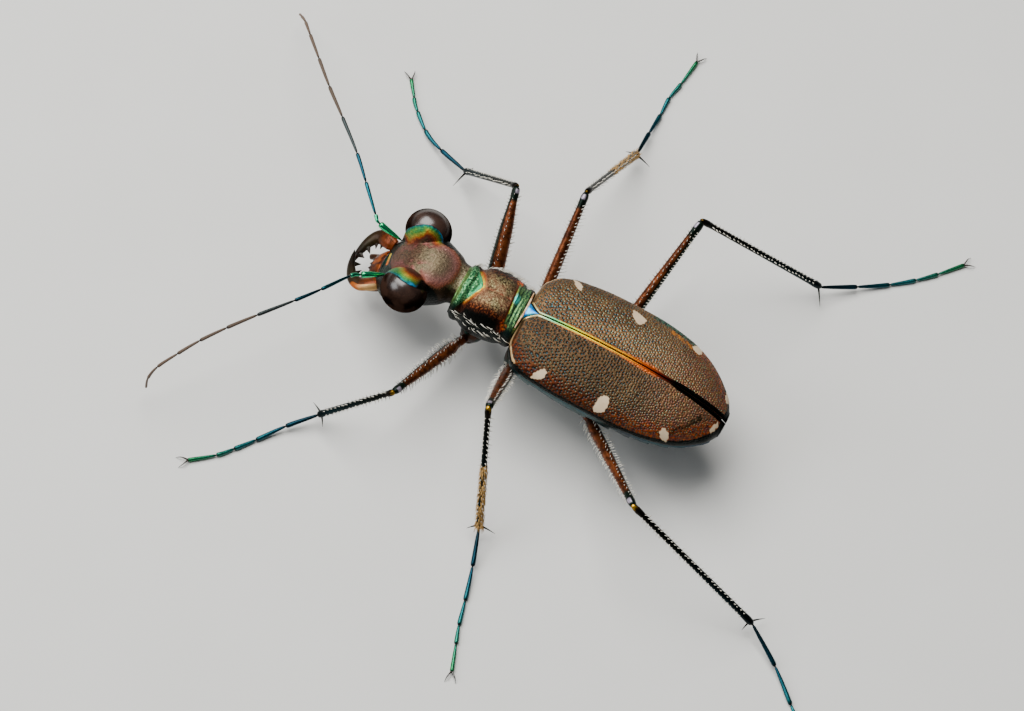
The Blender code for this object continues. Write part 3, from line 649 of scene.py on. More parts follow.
y = np.linspace(-3.03, -0.26, 270)[:, None]
turn = circle(260)
middle = -tan(radians(2)) * (y + 0.42)
rings = hull(y, turn, SHIELD_Y, SHIELD_HALF, SHIELD_TOP, SHIELD_LOW, middle, 0.9)
side = rings[..., 0] - middle
upper = rise(np.sin(turn), 0.0, 0.3)
before = y + 2.10 + 0.62 * np.sqrt(side ** 2 + 0.01)
behind = y + 0.86 - 0.10 * side
disc = rise(before, 0.0, 0.25) * rise(behind, 0.0, -0.25) * upper
line = np.exp(-(side / 0.035) ** 2) * disc
furrow = (np.exp(-(before / 0.07) ** 2) + np.exp(-(behind / 0.05) ** 2)) * upper
pleats = np.sin(behind * 46 + side * 3 + 1.6 * np.sin(side * 4)) * rise(behind, 0.02, 0.1) * upper
ripples = 0.6 * np.sin(y * 34 + side * side * 4 + 2 * np.sin(side * 5))
pleats = pleats + ripples * rise(before, 0.0, -0.15) * upper
hollow = 0.03 * np.exp(-(side / 0.35) ** 2) * disc
rings[..., 2] -= 0.03 * line + hollow + 0.05 * furrow - 0.008 * pleats
lay = np.stack([side, before, behind + 0 * side], axis=2)
marks = {"lay": lay, "line": line, "height": np.sin(turn) + 0 * side}
shield = closed_mesh("pronotum_shield", [(rings, marks)])
copper = Paint("pronotum_copper", Coat_Weight=0.0, Specular_IOR_Level=0.2)
side, before, behind = copper.parts(copper.mark("lay", "Vector"))
height = copper.mark("height")
grain = copper.mottle(0.05, detail=2.0, rough=0.7)
flecks = copper.mottle(0.075, detail=1.0)
coarse = copper.mottle(0.075, detail=3.0, rough=0.75).ease(0.38, 0.62)
disc = copper.blend(coarse, (44, 32, 20), (138, 126, 90))
disc = disc.tinted(flecks.ease(0.62, 0.72) * 0.7, (180, 168, 112))
rosy = copper.mottle(0.5).ease(0.42, 0.62)
disc = disc.tinted(rosy * 0.35, (128, 76, 58))
# Toward the sides the shield turns brown and then near black, sooner on the beetle's left: the brown is
# its colour, the near black is painted shade on the steep sides.
flank = side.size() + side.ease(-0.2, 0.2) * 0.14 + copper.mottle(0.3) * 0.3 - 0.15
brown = copper.blend(flecks.ease(0.5, 0.62), (40, 14, 6), (112, 56, 26))
disc = disc.tinted(flank.ease(0.62, 0.98), brown)
disc = disc.tinted(flank.ease(0.98, 1.22), (4, 6, 4))
border = before.ease(0.5, 0.08) + behind.ease(-0.42, -0.06) + side.size().ease(0.24, 0.04) * 0.4
disc = disc.tinted(border.ease(0.1, 1.0) * 0.6, copper.blend(coarse, (34, 14, 10), (96, 50, 34)))
near_rim = copper.blend(side.size().ease(0.1, 0.6), (150, 104, 70), (206, 96, 34))
# Painted shade: the front rim turns near black toward the sides.
near_rim = near_rim.tinted(side.size().ease(0.68, 0.9), (30, 12, 6))
disc = disc.tinted(before.ease(0.20, 0.06) * 0.9, near_rim)
disc = disc.tinted(behind.ease(-0.12, -0.03) * 0.8, (150, 70, 50))
disc = disc.tinted(copper.mark("line") * copper.mottle(0.2).ease(0.35, 0.6) * 0.8, (130, 56, 40))
collar = copper.blend(coarse, (14, 62, 44), (86, 156, 98))
collar = collar.tinted(flecks.ease(0.58, 0.68), (150, 210, 150))
collar = collar.tinted(before.ease(-0.25, -0.05) * side.size().ease(0.8, 0.3), (60, 180, 120))
front_line = (before - side.size() * 0.62 + 0.80).ease(0.10, -0.02)
collar = collar.tinted(front_line * copper.mottle(0.3).ease(0.3, 0.6) * 0.6, (110, 130, 60))
# Painted shade: the collar turns near black toward the sides.
collar = collar.tinted(side.size().ease(0.70, 1.08), (6, 30, 22))
rim = copper.speckle(0.15, 0.4, 0.6, (222, 200, 70), (226, 128, 40))
# Painted shade: the rim turns dark toward the sides.
rim = rim.tinted(side.size().ease(0.62, 0.86), (30, 22, 8))
tone = copper.blend(before.ease(-0.045, -0.01), collar, rim)
tone = tone.tinted(before.ease(0.02, 0.09), disc)
teal = copper.blend(coarse, (34, 84, 60), (128, 172, 104))
streak = (behind * 46 + side * 3 + (copper.mottle(0.45) - 0.5) * 12).wave()
teal = teal.tinted(streak.ease(-0.1, 0.8) * 0.8, (10, 40, 36))
teal = teal.tinted((side + 0.16).size().ease(0.30, 0.05) * behind.ease(0.28, 0.1), (70, 210, 200))
# Painted shade: the rear collar turns near black toward the sides.
teal = teal.tinted(side.size().ease(0.75, 1.1), (6, 26, 24))
gold = copper.speckle(0.12, 0.4, 0.6, (150, 190, 60), (196, 178, 60))
gold_share = behind.ease(0.06, 0.0) * side.size().ease(0.8, 0.4) * copper.mottle(0.14).ease(0.3, 0.6)
teal = teal.tinted(gold_share, gold)
tone = tone.tinted(behind.ease(-0.03, 0.0), teal)
corner = ((side.size() - 0.95).square() + (behind + 0.02).square()).ease(0.035, 0.004)
ember = copper.speckle(0.1, 0.42, 0.58, (216, 62, 22), (240, 130, 40))
tone = tone.tinted(corner * copper.mottle(0.12).ease(0.38, 0.6), ember)
tone = tone.tinted(behind.ease(0.50, 0.56), (8, 18, 16))
# Painted shade: the lower part of the shield turns near black, reaching higher on the beetle's left.
under = (height + side.ease(0.2, -0.2) * 0.25).ease(0.50, 0.26)
tone = tone.tinted(under, copper.blend(grain, (2, 5, 4), (6, 22, 16)))
copper.finish(Base_Color=tone, Metallic=0.8, Roughness=grain * 0.2 + 0.34,
              Normal=copper.relief(copper.mottle(0.09, detail=3.0, rough=0.7), 0.03))
fit(shield, copper.material, "pronotum", "pronotum")


# Head: one hard capsule with raised rims that lap the eyes and fine grooves that run round them.
# Its metal turns from blue at the eyes through green and gold to a rosy and grey brow, with a
# pink crescent behind the crown and a pale neck that darkens to the sides.
HEAD_Y = (-6.18, -6.10, -5.92, -5.6, -5.2, -4.8, -4.3, -3.8, -3.42, -3.3, -2.95)
HEAD_HALF = (0.84, 0.98, 1.24, 1.52, 1.68, 1.68, 1.46, 1.22, 1.02, 0.92, 0.84)
HEAD_TOP = (2.55, 2.72, 3.10, 3.58, 4.00, 4.24, 4.32, 4.24, 4.08, 4.00, 3.90)
HEAD_LOW = (2.10, 1.98, 1.86, 1.78, 1.76, 1.82, 1.95, 2.14, 2.38, 2.50, 2.60)
EYE_RADII = np.array((0.87, 0.95, 0.92))
TURN = radians(-4)
EYE_OUT, EYE_Z = 1.40, 3.62
HEAD_OFFSET, HEAD_PIVOT = 0.07, -5.08
RIM_AT = (-0.95, -0.74, -0.50, -0.20, 0.20, 0.60, 0.80, 0.95)
EYE_RIMS = {1: (1.24, 1.30, 1.42, 1.56, 1.60, 1.50, 1.30, 1.04),
            -1: (0.88, 1.00, 1.08, 1.20, 1.26, 1.16, 1.02, 0.88)}


def head_middle(y):
    """The head's middle line, which turns four degrees to the beetle's left."""
    return HEAD_OFFSET + tan(TURN) * (y - HEAD_PIVOT)


def eye_middle(side):
    """The centre of the left eye, side 1, or of the right one, side -1."""
    y = HEAD_PIVOT + 0.05 + side * (0.05 - EYE_OUT * sin(TURN))
    return np.array((HEAD_OFFSET + side * EYE_OUT, y, EYE_Z))


def from_eye(points, side):
    """Places measured from an eye's centre along its own axes, in eye radii."""
    apart = points - eye_middle(side)
    x = apart[..., 0] * cos(TURN) + apart[..., 1] * sin(TURN)
    y = apart[..., 1] * cos(TURN) - apart[..., 0] * sin(TURN)
    return np.stack([x, y, apart[..., 2]], axis=-1) / EYE_RADII


y = np.concatenate([np.linspace(-6.18, -3.6, 290, endpoint=False), np.linspace(-3.6, -2.95, 60)])
y = y[:, None]
turn = circle(280)
rings = hull(y, turn, HEAD_Y, HEAD_HALF, HEAD_TOP, HEAD_LOW, head_middle(y), 0.85)
upper = turn < pi
side = rings[..., 0] - head_middle(y)
away = np.full(side.shape, 9.0)
for way in (1, -1):
    place = from_eye(rings, way)
    level = 1.035 - place[..., 0] ** 2 - place[..., 1] ** 2
    dome = np.sqrt(level.clip(0, None)) * EYE_RADII[2] + EYE_Z
    rim = through(place[..., 1] * EYE_RADII[1], RIM_AT, EYE_RIMS[way])
    inner = rise(way * side, rim + 0.05, rim - 0.04) * (np.abs(place[..., 1]) < 1.01)
    rings[..., 2] += ((dome - rings[..., 2]) * inner * upper * (level > 0)).clip(0, None)
    along = np.linspace(-0.95, 0.95, 60)
    edge_y = eye_middle(way)[1] + along
    edge = np.column_stack([head_middle(edge_y) + way * through(along, RIM_AT, EYE_RIMS[way]), edge_y])
    level = 1.02 - np.square(from_eye(np.column_stack([edge, np.full(60, EYE_Z)]), way)).sum(axis=1)
    edge = np.column_stack([edge, np.sqrt(level.clip(0.02, None)) * EYE_RADII[2] + EYE_Z])
    away = np.min([away] + [np.linalg.norm(rings - point, axis=2) for point in edge], axis=0)
grooves = np.sin(away * 84 + 1.5 * np.sin(y * 5 + side * 3)) * rise(away, 0.10, 0.2) * upper
dent = 0.05 * np.exp(-(side / 0.55) ** 2) * rise(y, -6.1, -5.6) * rise(y, -4.3, -4.9) * upper
rings[..., 2] -= dent - 0.004 * grooves
hinge_line = y + 6.0 - 0.45 * (side ** 2).clip(0, 0.5) - 0.1 * side
hinge_line = hinge_line + 0.8 * rise(np.abs(side), 0.78, 1.0)
rings[..., 2] -= 0.07 * rise(hinge_line, 0.02, -0.04) * rise(rings[..., 2], 2.3, 2.6)
lay = rings_of(side, y, rings[..., 2])
marks = {"lay": lay, "away": away, "groove": grooves, "hinge": hinge_line}
capsule = closed_mesh("head_capsule", [(rings, marks)])
bronze = Paint("head_bronze", Coat_Weight=0.0, Specular_IOR_Level=0.2)
side, along, height = bronze.parts(bronze.mark("lay", "Vector"))
groove = bronze.mark("groove") * 0.5 + 0.5
grain = bronze.mottle(0.05, detail=2.0, rough=0.7)
coarse = bronze.mottle(0.08, detail=3.0, rough=0.75).ease(0.38, 0.62)
drift = bronze.mottle(0.35) - 0.5
pool = (side.size() - 0.72).square() * 4.0 + (along + 5.44).square() * 5.0
away = bronze.mark("away") + drift * 0.16 + (bronze.mottle(0.13) - 0.5) * 0.16
away = away - pool.ease(0.8, 0.1) * 0.14 * bronze.mark("away").ease(0.12, 0.3)
away = away * (1 - side.ease(0.0, 0.4) * 0.26)
brow = bronze.blend(groove * 0.45 + coarse * 0.55, (44, 38, 30), (126, 114, 88))
rose = bronze.blend(groove * 0.45 + coarse * 0.55, (42, 24, 18), (116, 80, 62))
brow = brow.tinted(along.ease(-4.7, -5.4) * 0.9, rose)
wine = bronze.mottle(0.34).ease(0.44, 0.6) * side.size().ease(0.05, 0.4)
brow = brow.tinted(wine * 0.7, bronze.blend(coarse, (70, 26, 28), (150, 86, 84)))
near = bronze.ramp(away, (0.0, (3, 8, 10)), (0.035, (5, 30, 34)), (0.06, (20, 110, 116)),
                   (0.11, (26, 122, 80)), (0.18, (84, 148, 62)), (0.27, (184, 160, 54)),
                   (0.35, (190, 104, 42)), (0.45, (128, 58, 44)), (0.65, (104, 70, 56)))
near = near.tinted(groove * 0.35 + coarse * 0.3, (26, 22, 14))
brow = brow.tinted(away.ease(0.64, 0.42), near)
cyan = away.ease(0.15, 0.10) * away.ease(0.03, 0.06) * (along + 4.42).size().ease(0.45, 0.2)
brow = brow.tinted(cyan * 0.9, (24, 140, 190))

crown = ((side - 0.05).square() + (along + 4.25).square()) ** 0.5 * 0.82
crown = crown + drift * 0.14 + (grain - 0.5) * 0.24
rear = along.ease(-4.62, -4.22)
crescent = bronze.ramp(crown, (0.0, (124, 112, 86)), (0.36, (124, 108, 86)), (0.50, (150, 116, 100)),
                       (0.62, (196, 138, 128)), (0.72, (204, 126, 108)), (0.78, (170, 96, 66)),
                       (0.84, (110, 86, 60)), (1.0, (90, 76, 52)))
crescent = crescent.tinted(coarse * 0.55, (70, 50, 42))
brow = brow.tinted(rear, crescent)
neck = bronze.blend(coarse, (100, 86, 64), (196, 178, 144))
neck = neck.tinted(side.size().ease(0.35, 0.75), (44, 32, 20))
brow = brow.tinted(crown.ease(0.78, 0.88) * rear, neck)
# Painted shade: the temples behind the eyes and the lower sides of the head turn near black.
temple_shade = side.size() - side.ease(-0.2, 0.2) * 0.12 - (along + 4.3).size() * 0.15 + drift * 0.1
temple_shade = temple_shade.ease(0.80, 0.90) * along.ease(-4.52, -4.34)
flank = height.ease(3.35, 3.10) * side.size().ease(0.62, 0.86) + temple_shade + height.ease(2.66, 2.5)
brow = brow.tinted(flank.ease(0.1, 0.9), bronze.blend(grain, (1, 3, 2), (4, 16, 11)))
hinge_line = bronze.mark("hinge")
plate = bronze.blend(grain.ease(0.4, 0.6), (2, 12, 10), (8, 46, 34))
# Painted highlight: a gold to orange streak across the front plate of the head.
streak = (along + 6.08 - side * 0.15).size().ease(0.045, 0.02) * (side + 0.02).size().ease(0.36, 0.28)
plate = plate.tinted(streak, bronze.blend(side.ease(-0.2, 0.2), (230, 196, 50), (236, 120, 30)))
brow = brow.tinted(hinge_line.ease(0.015, -0.02), plate)
brow = brow.tinted(hinge_line.size().ease(0.035, 0.01), (8, 6, 5))
bronze.finish(Base_Color=brow, Metallic=0.8, Roughness=coarse * 0.12 + 0.34,
              Normal=bronze.relief(bronze.mottle(0.09, detail=3.0, rough=0.7), 0.03))
fit(capsule, bronze.material, "head", "head")


# Eyes: two bulging glossy balls of dark brown, finely faceted, set into the head's rims.
def ball(centre, radii, rows, sides, turned=0.0):
    """Rings of an ellipsoid from its lower pole to its upper one, turned about Z."""
    tilt = np.linspace(-pi / 2, pi / 2, rows)[1:-1, None]
    turn = circle(sides)
    x, y = radii[0] * np.cos(tilt) * np.cos(turn), radii[1] * np.cos(tilt) * np.sin(turn)
    z = radii[2] * np.sin(tilt) + 0 * turn
    x, y = x * cos(turned) - y * sin(turned), x * sin(turned) + y * cos(turned)
    return np.stack([x, y, z], axis=2) + centre


lacquer = Paint("eye_lacquer", Roughness=0.5, Specular_IOR_Level=0.0, Coat_Roughness=0.26,
                Coat_IOR=1.75)
lift = lacquer.mark("lift")
facets = lacquer.cells(0.035)
# Painted shade: the eye runs from near black on its lower half to dark brown at its top.
eye_tone_and_shade = lacquer.ramp(lift, (0.0, (8, 5, 4)), (0.4, (16, 9, 7)), (0.75, (38, 22, 16)),
                    (1.0, (52, 33, 25)))
eye_tone_and_shade = eye_tone_and_shade.tinted(facets.ease(0.3, 0.6) * 0.4, (8, 4, 3))
eye_tone_and_shade = eye_tone_and_shade.tinted(lacquer.mottle(0.6).ease(0.42, 0.6) * 0.35, (74, 52, 42))
lacquer.finish(Base_Color=eye_tone_and_shade, Coat_Weight=lift.ease(0.52, 0.86), Normal=lacquer.relief(facets, 0.002))
for name, side in (("eye_left", 1), ("eye_right", -1)):
    rings = ball(eye_middle(side), EYE_RADII, 90, 120, TURN)
    piece = closed_mesh(name + "_ball", [(rings, {"lift": (rings[..., 2] - EYE_Z) / EYE_RADII[2]})])
    fit(piece, lacquer.material, "eyes", name)


# Clypeus: the narrow dark green band that hinges the lip to the brow, with a glint of gold.
def slab(width, back, front, bend, thick, slope, start, columns, sides):
    """Rings of a flat plate across the head: at each u from -1 to 1 an oval from back(u) to
    front(u) down the slope, its top arched by bend and thinning toward the front."""
    u = np.linspace(-1, 1, columns)[:, None]
    turn = circle(sides)
    ahead = np.array((0, -cos(slope), -sin(slope)))
    above = np.array((0, -sin(slope), cos(slope)))
    reach = (np.cos(turn) + 1) / 2
    down = back(u) + (front(u) - back(u)) * reach
    lift = thick * np.sqrt(np.clip(1 - u ** 4, 0.02, 1)) * np.sin(turn) * (1 - 0.45 * reach)
    lift = lift - bend * u ** 2
    x = width * u + 0 * turn
    rings = start + down[..., None] * ahead + lift[..., None] * above
    rings[..., 0] += x + head_middle(rings[..., 1]) - start[0]
    return rings, {"reach": down, "across": u + 0 * turn}


band = slab(0.74, lambda u: -0.12 + 0.05 * u ** 2, lambda u: 0.20 - 0.10 * u ** 2, 0.16, 0.15,
            radians(48), np.array((0, -6.12, 2.44)), 90, 48)
clypeus = closed_mesh("clypeus", [band])
hinge = Paint("clypeus_green", Metallic=0.85, Roughness=0.3, Specular_IOR_Level=0.2)
tint = hinge.speckle(0.12, 0.4, 0.6, (3, 14, 11), (10, 46, 36))
# Painted highlight: a gold band across the front middle of the clypeus.
gold = hinge.mark("across").size().ease(0.34, 0.12) * hinge.mark("reach").ease(0.10, 0.16)
hinge.finish(Base_Color=hinge.blend(gold, tint, (225, 150, 40)),
             Normal=hinge.relief(hinge.mottle(0.05), 0.006))
fit(clypeus, hinge.material, "head")


# Labrum: the amber upper lip, a thin sloping plate whose front edge carries short dark teeth.
def lip_front(u):
    """How far the lip reaches forward: full in the middle, with five rounded teeth."""
    teeth = sum(np.exp(-((u - at) / 0.07) ** 2) for at in (-0.62, -0.32, 0.0, 0.32, 0.62))
    return 0.68 - 0.34 * np.abs(u) ** 2.6 + 0.10 * teeth


plate = slab(0.68, lambda u: 0.02 + 0 * u, lip_front, 0.14, 0.09, radians(52),
             np.array((0, -6.26, 2.32)), 160, 56)
labrum = closed_mesh("labrum_plate", [plate])
amber = Paint("labrum_amber", Metallic=0.45, Roughness=0.38, Specular_IOR_Level=0.2)
honey = amber.speckle(0.16, 0.38, 0.62, (150, 72, 14), (54, 18, 5))
honey = honey.tinted(amber.mark("across").ease(-0.1, 0.75) * 0.8, (44, 14, 4))
dusk = amber.mark("reach").ease(0.46, 0.60) + amber.mark("across").size().ease(0.80, 0.98)
honey = honey.tinted(dusk.ease(0.0, 1.0) * 0.92, (20, 8, 4))
amber.finish(Base_Color=honey, Normal=amber.relief(amber.mottle(0.08), 0.006))
fit(labrum, amber.material, "labrum", "labrum")


# Mandibles: long curved jaws that cross at their tips, amber at the base and black at the point,
# each with inner teeth. The left one has a pale patch on its outer base.
def smooth_path(points, steps):
    """A smooth curve through points: Catmull-Rom cubics, steps to a span."""
    points = np.asarray(points, float)
    ends = np.vstack([2 * points[0] - points[1], points, 2 * points[-1] - points[-2]])
    t = (np.arange(steps) / steps)[None, :, None]
    before, start, end, after = (ends[i:len(points) - 1 + i, None] for i in range(4))
    curve = 0.5 * (2 * start + (end - before) * t + (2 * before - 5 * start + 4 * end - after) * t ** 2
                   + (3 * start - before - 3 * end + after) * t ** 3)
    return np.vstack([curve.reshape(-1, 3), points[-1]])


def sweep(path, wide, deep, up, sides):
    """Rings along a path, each an oval square to it: wide to the side and deep toward up; with
    marks for the share of the length, the turn round the tube, and the length in millimetres."""
    path = np.asarray(path, float)
    heading = unit(np.gradient(path, axis=0))
    over = unit(np.asarray(up, float) - heading * (heading @ np.asarray(up, float))[:, None])
    beside = np.cross(heading, over)
    turn = np.linspace(0, 2 * pi, sides, endpoint=False)
    wide, deep = (np.broadcast_to(np.asarray(size, float), len(path)) for size in (wide, deep))
    rings = (path[:, None] + beside[:, None] * (wide[:, None] * np.cos(turn))[..., None]
             + over[:, None] * (deep[:, None] * np.sin(turn))[..., None])
    steps = np.concatenate([[0], np.cumsum(np.linalg.norm(np.diff(path, axis=0), axis=1))])[:, None]
    flat = 0 * turn[None]
    return rings, {"share": steps / steps[-1] + flat, "top": np.sin(turn)[None] + 0 * steps,
                   "length": steps + flat}


JAWS = {
    "left": ((1.02, -5.95, 2.25), (1.22, -6.30, 2.15), (1.33, -6.68, 1.98), (1.14, -7.05, 1.82),
             (0.66, -7.33, 1.66), (0.2, -7.47, 1.55), (-0.16, -7.56, 1.46)),
    "right": ((-0.74, -6.15, 2.25), (-0.84, -6.52, 2.15), (-0.93, -6.88, 1.95), (-0.66, -7.18, 1.72),
              (-0.27, -7.36, 1.36), (0.05, -7.42, 1.15), (0.34, -7.42, 1.0)),
}
jaw = Paint("mandible_horn", Metallic=0.4, Roughness=0.32, Specular_IOR_Level=0.25)
share = jaw.mark("share") + jaw.mottle(0.3) * 0.16 - 0.08
horn = jaw.ramp(share, (0.0, (120, 52, 12)), (0.18, (104, 46, 12)),
                (0.30, (52, 32, 12)), (0.50, (44, 36, 18)), (0.72, (22, 18, 10)), (1.0, (6, 5, 4)))
horn = horn.tinted(jaw.mottle(0.15).ease(0.5, 0.64) * 0.6, (40, 18, 6))
pale = jaw.mark("pale").ease(0.35, 0.7)
horn = horn.tinted(pale * 0.9, jaw.blend(share.ease(0.18, 0.34), (200, 156, 100), (170, 84, 22)))
jaw.finish(Base_Color=horn, Normal=jaw.relief(jaw.mottle(0.06), 0.004))
for name, joints in JAWS.items():
    path = smooth_path(joints, 12)
    share = np.linspace(0, 1, len(path))
    wide = np.interp(share, (0, 0.1, 0.3, 0.6, 0.85, 1), (0.24, 0.31, 0.31, 0.19, 0.09, 0.012))
    deep = np.interp(share, (0, 0.1, 0.3, 0.6, 0.85, 1), (0.16, 0.20, 0.17, 0.12, 0.07, 0.010))
    plane = np.cross(np.subtract(joints[3], joints[1]), np.subtract(joints[5], joints[3]))
    plane *= np.sign(plane[2])
    rings, marks = sweep(path, wide, deep, plane, 36)
    outward = -np.cos(np.linspace(0, 2 * pi, 36, endpoint=False))[None]
    pale = rise(outward, 0.15, 0.75) * rise(marks["share"], 0.44, 0.34) * (name == "left")
    parts = [(rings, {**marks, "pale": pale * rise(marks["share"], 0.02, 0.08)})]
    inside = np.array((head_middle(-6.7), -6.6, 1.7))
    for at, size in ((0.24, 0.40), (0.38, 0.42), (0.54, 0.42), (0.70, 0.34)):
        root = path[int(at * len(path))]
        way = (inside - root) / np.linalg.norm(inside - root)
        spike = root + np.outer(np.linspace(0, 1, 12), way) * (size + 0.05)
        wide, deep = np.linspace(0.19, 0.012, 12), np.linspace(0.09, 0.010, 12)
        tooth, marks = sweep(spike, wide, deep, plane, 14)
        parts.append((tooth, {**marks, "share": 0.72 + 0 * tooth[..., 0], "pale": 0 * tooth[..., 0]}))
    piece = closed_mesh(f"mandible_{name}_jaw", parts)
    fit(piece, jaw.material, "mandibles", f"mandible_{name}")


# Palps: two pairs of jointed feelers under the jaws, of thin brown horn with darker tips.
def jointed(path, bounds, waist, belly, up, sides, steps=11):
    """Segments strung on a path between shares of its length, each narrow at its root and widest
    just before its end, where it closes on the next."""
    length = travelled(path)
    parts = []
    for number, (start, end) in enumerate(zip(bounds[:-1], bounds[1:])):
        t = np.concatenate([[0, 0.02], np.linspace(0.07, 0.93, steps), [0.975, 1.0]])
        at = start + (end - start) * t
        points = np.stack([np.interp(at, length, path[:, k]) for k in range(3)], axis=1)
        thin, full = waist[number], belly[number]
        half = np.interp(t, (0, 0.05, 0.3, 0.8, 0.94, 0.98, 1.0),
                         (0.5 * thin, thin, 0.5 * (thin + full), full, full, 0.8 * full, 0.35 * full))
        rings, marks = sweep(points, half, half, up, sides)
        marks["share"] = at[:, None] + 0 * rings[..., 0]
        marks["joint"] = rise(np.abs(t - 0.5), 0.40, 0.49)[:, None] + 0 * rings[..., 0]
        parts.append((rings, marks))
    return parts


palp = Paint("palp_horn", Roughness=0.35, Coat_Weight=0.3)
tint = palp.blend(palp.mottle(0.3), (120, 66, 26), (84, 44, 20))
tint = tint.tinted(palp.mark("joint") * 0.6 + palp.mark("share").ease(0.7, 1.0) * 0.4, (26, 24, 20))
palp.finish(Base_Color=tint, Metallic=0.15, Normal=palp.relief(palp.mottle(0.05), 0.003))
PALPS = {
    "maxillary_palp": ((0.66, -5.50, 1.42), (0.72, -6.05, 1.24), (0.78, -6.55, 1.06),
                       (0.72, -6.94, 0.80)),
    "labial_palp": ((0.26, -5.30, 1.40), (0.28, -5.85, 1.05), (0.32, -6.30, 0.80), (0.34, -6.62, 0.54)),
}
for kind, joints in PALPS.items():
    for name, side in (("left", 1), ("right", -1)):
        points = [(head_middle(y) + side * x, y, z) for x, y, z in joints]
        path = smooth_path(points, 10)
        parts = jointed(path, (0, 0.3, 0.62, 1.0), (0.07, 0.07, 0.075), (0.10, 0.11, 0.12),
                        (0, 0.2, 1), 16)
        piece = closed_mesh(f"{kind}_{name}_segments", parts)
        fit(piece, palp.material, "palps", f"{kind}_{name}")


# Feelers: eleven hard segments each. The first is a polished emerald club, the next three are
# blue-green metal, and the rest are matt grey-brown with a soft down too fine to see.
FEELERS = {
    "right": ((-0.74, -5.98, 2.96), (-0.86, -7.06, 3.15), (-1.10, -7.37, 3.20), (-2.09, -8.34, 3.40),
              (-2.99, -9.21, 3.50), (-4.10, -10.45, 3.55), (-5.07, -11.52, 3.50), (-6.02, -12.46, 3.40),
              (-6.95, -13.29, 3.10), (-7.67, -13.78, 2.50), (-8.24, -14.12, 1.70),
              (-8.77, -14.36, 0.80)),
    "left": ((0.90, -5.84, 2.96), (1.47, -6.70, 3.05), (1.75, -7.03, 3.10), (2.94, -7.75, 3.25),
             (3.93, -8.43, 3.30), (5.24, -9.41, 3.30), (6.32, -10.20, 3.25), (7.29, -10.86, 3.15),
             (8.12, -11.38, 2.90), (8.78, -11.85, 2.40), (9.03, -12.04, 1.60), (8.98, -12.04, 0.60)),
}
feeler = Paint("feeler_shell", Coat_Weight=0.0, Specular_IOR_Level=0.25)
count = feeler.mark("count")
tone = feeler.ramp(count / 11, (0.0, (50, 206, 136)), (0.085, (50, 206, 136)), (0.10, (20, 100, 110)),
                   (0.19, (20, 84, 96)), (0.28, (22, 60, 74)), (0.36, (34, 52, 56)),
                   (0.38, (88, 74, 62)), (1.0, (104, 84, 70)))
tone = tone.tinted(feeler.mottle(0.12) * 0.25, (20, 18, 16))
tone = tone.tinted(feeler.mark("joint") * 0.85, (12, 12, 12))
shine = count.ease(4.2, 3.9)
feeler.finish(Base_Color=tone, Metallic=shine * 0.95, Roughness=0.62 - shine * 0.40,
              Normal=feeler.relief(feeler.mottle(0.04), 0.002))
for name, joints in FEELERS.items():
    path = smooth_path(joints, 10)
    bounds = travelled(path)[::10]
    thin = (0.040, 0.045, 0.05, 0.05, 0.05, 0.05, 0.048, 0.046, 0.044, 0.042, 0.04)
    full = (0.135, 0.085, 0.082, 0.08, 0.078, 0.075, 0.072, 0.07, 0.066, 0.062, 0.05)
    parts = jointed(path, bounds, thin, full, (0, 0, 1), 16)
    for number, (rings, marks) in enumerate(parts):
        marks["count"] = number + 0 * rings[..., 0]
    piece = closed_mesh(f"antenna_{name}_segments", parts)
    fit(piece, feeler.material, "flagella", f"antenna_{name}_scape", f"antenna_{name}_flagellum")


# Legs: six slender legs of hollow shell: a round hip, a rusty thigh edged in black, the black
# partly painted shade, a thin dark shin with two spurs, a foot of five segments that turns from
# black to blue-green, and a pair of claws. The first foot segments slope down to the ground and
# the others lie on it.
LEGS = {
    "front_right": ((-0.75, -1.90, 1.45), (-4.80, -3.00, 3.85), (-5.98, -5.36, 0.68),
                    ((-6.71, -7.21), (-7.67, -8.33), (-8.25, -8.78), (-8.81, -9.17)), 0.34),
    "front_left": ((0.75, -1.90, 1.45), (5.60, -3.25, 3.63), (6.58, -5.62, 0.62),
                   ((7.58, -6.54), (8.62, -7.30), (9.39, -7.87), (9.98, -8.35), (10.75, -9.24)), 0.27),
    "middle_right": ((-0.90, 0.05, 1.30), (-5.92, -0.45, 4.03), (-10.34, 0.37, 0.66),
                     ((-11.60, 0.38), (-12.68, 0.41), (-13.56, 0.39), (-14.41, 0.53), (-15.69, 0.67)),
                     0.25),
    "middle_left": ((0.90, 0.15, 1.30), (4.94, 0.35, 5.00), (7.72, 2.09, 0.62),
                    ((9.17, 2.57), (10.54, 2.95), (11.57, 3.20), (12.34, 3.45), (13.48, 3.83)), 0.25),
    "hind_right": ((-1.10, 3.10, 1.30), (-6.90, 4.16, 4.54), (-8.83, 9.49, 0.60),
                   ((-9.74, 10.80), (-10.60, 11.92), (-11.35, 12.78), (-12.07, 13.46), (-13.02, 14.24)),
                   0.24),
    "hind_left": ((1.10, 3.20, 1.30), (5.46, 7.10, 4.28), (5.86, 13.31, 0.62),
                  ((6.92, 14.86), (8.00, 16.10), (8.75, 16.95), (9.35, 17.60), (10.01, 18.37)), 0.25),
}
hip = Paint("hip_shell", Metallic=0.8, Specular_IOR_Level=0.2)
tint = hip.speckle(0.3, 0.4, 0.6, (12, 40, 34), (48, 26, 14))
hip.finish(Base_Color=tint, Roughness=0.3, Normal=hip.relief(hip.cells(0.1), 0.006))

thigh_paint = Paint("thigh_rust", Specular_IOR_Level=0.25)
share, top = thigh_paint.mark("share"), thigh_paint.mark("top")
rust = thigh_paint.speckle(0.25, 0.35, 0.65, (112, 58, 26), (62, 28, 10))
black = thigh_paint.blend(thigh_paint.mottle(0.3), (4, 14, 9), (10, 30, 20))
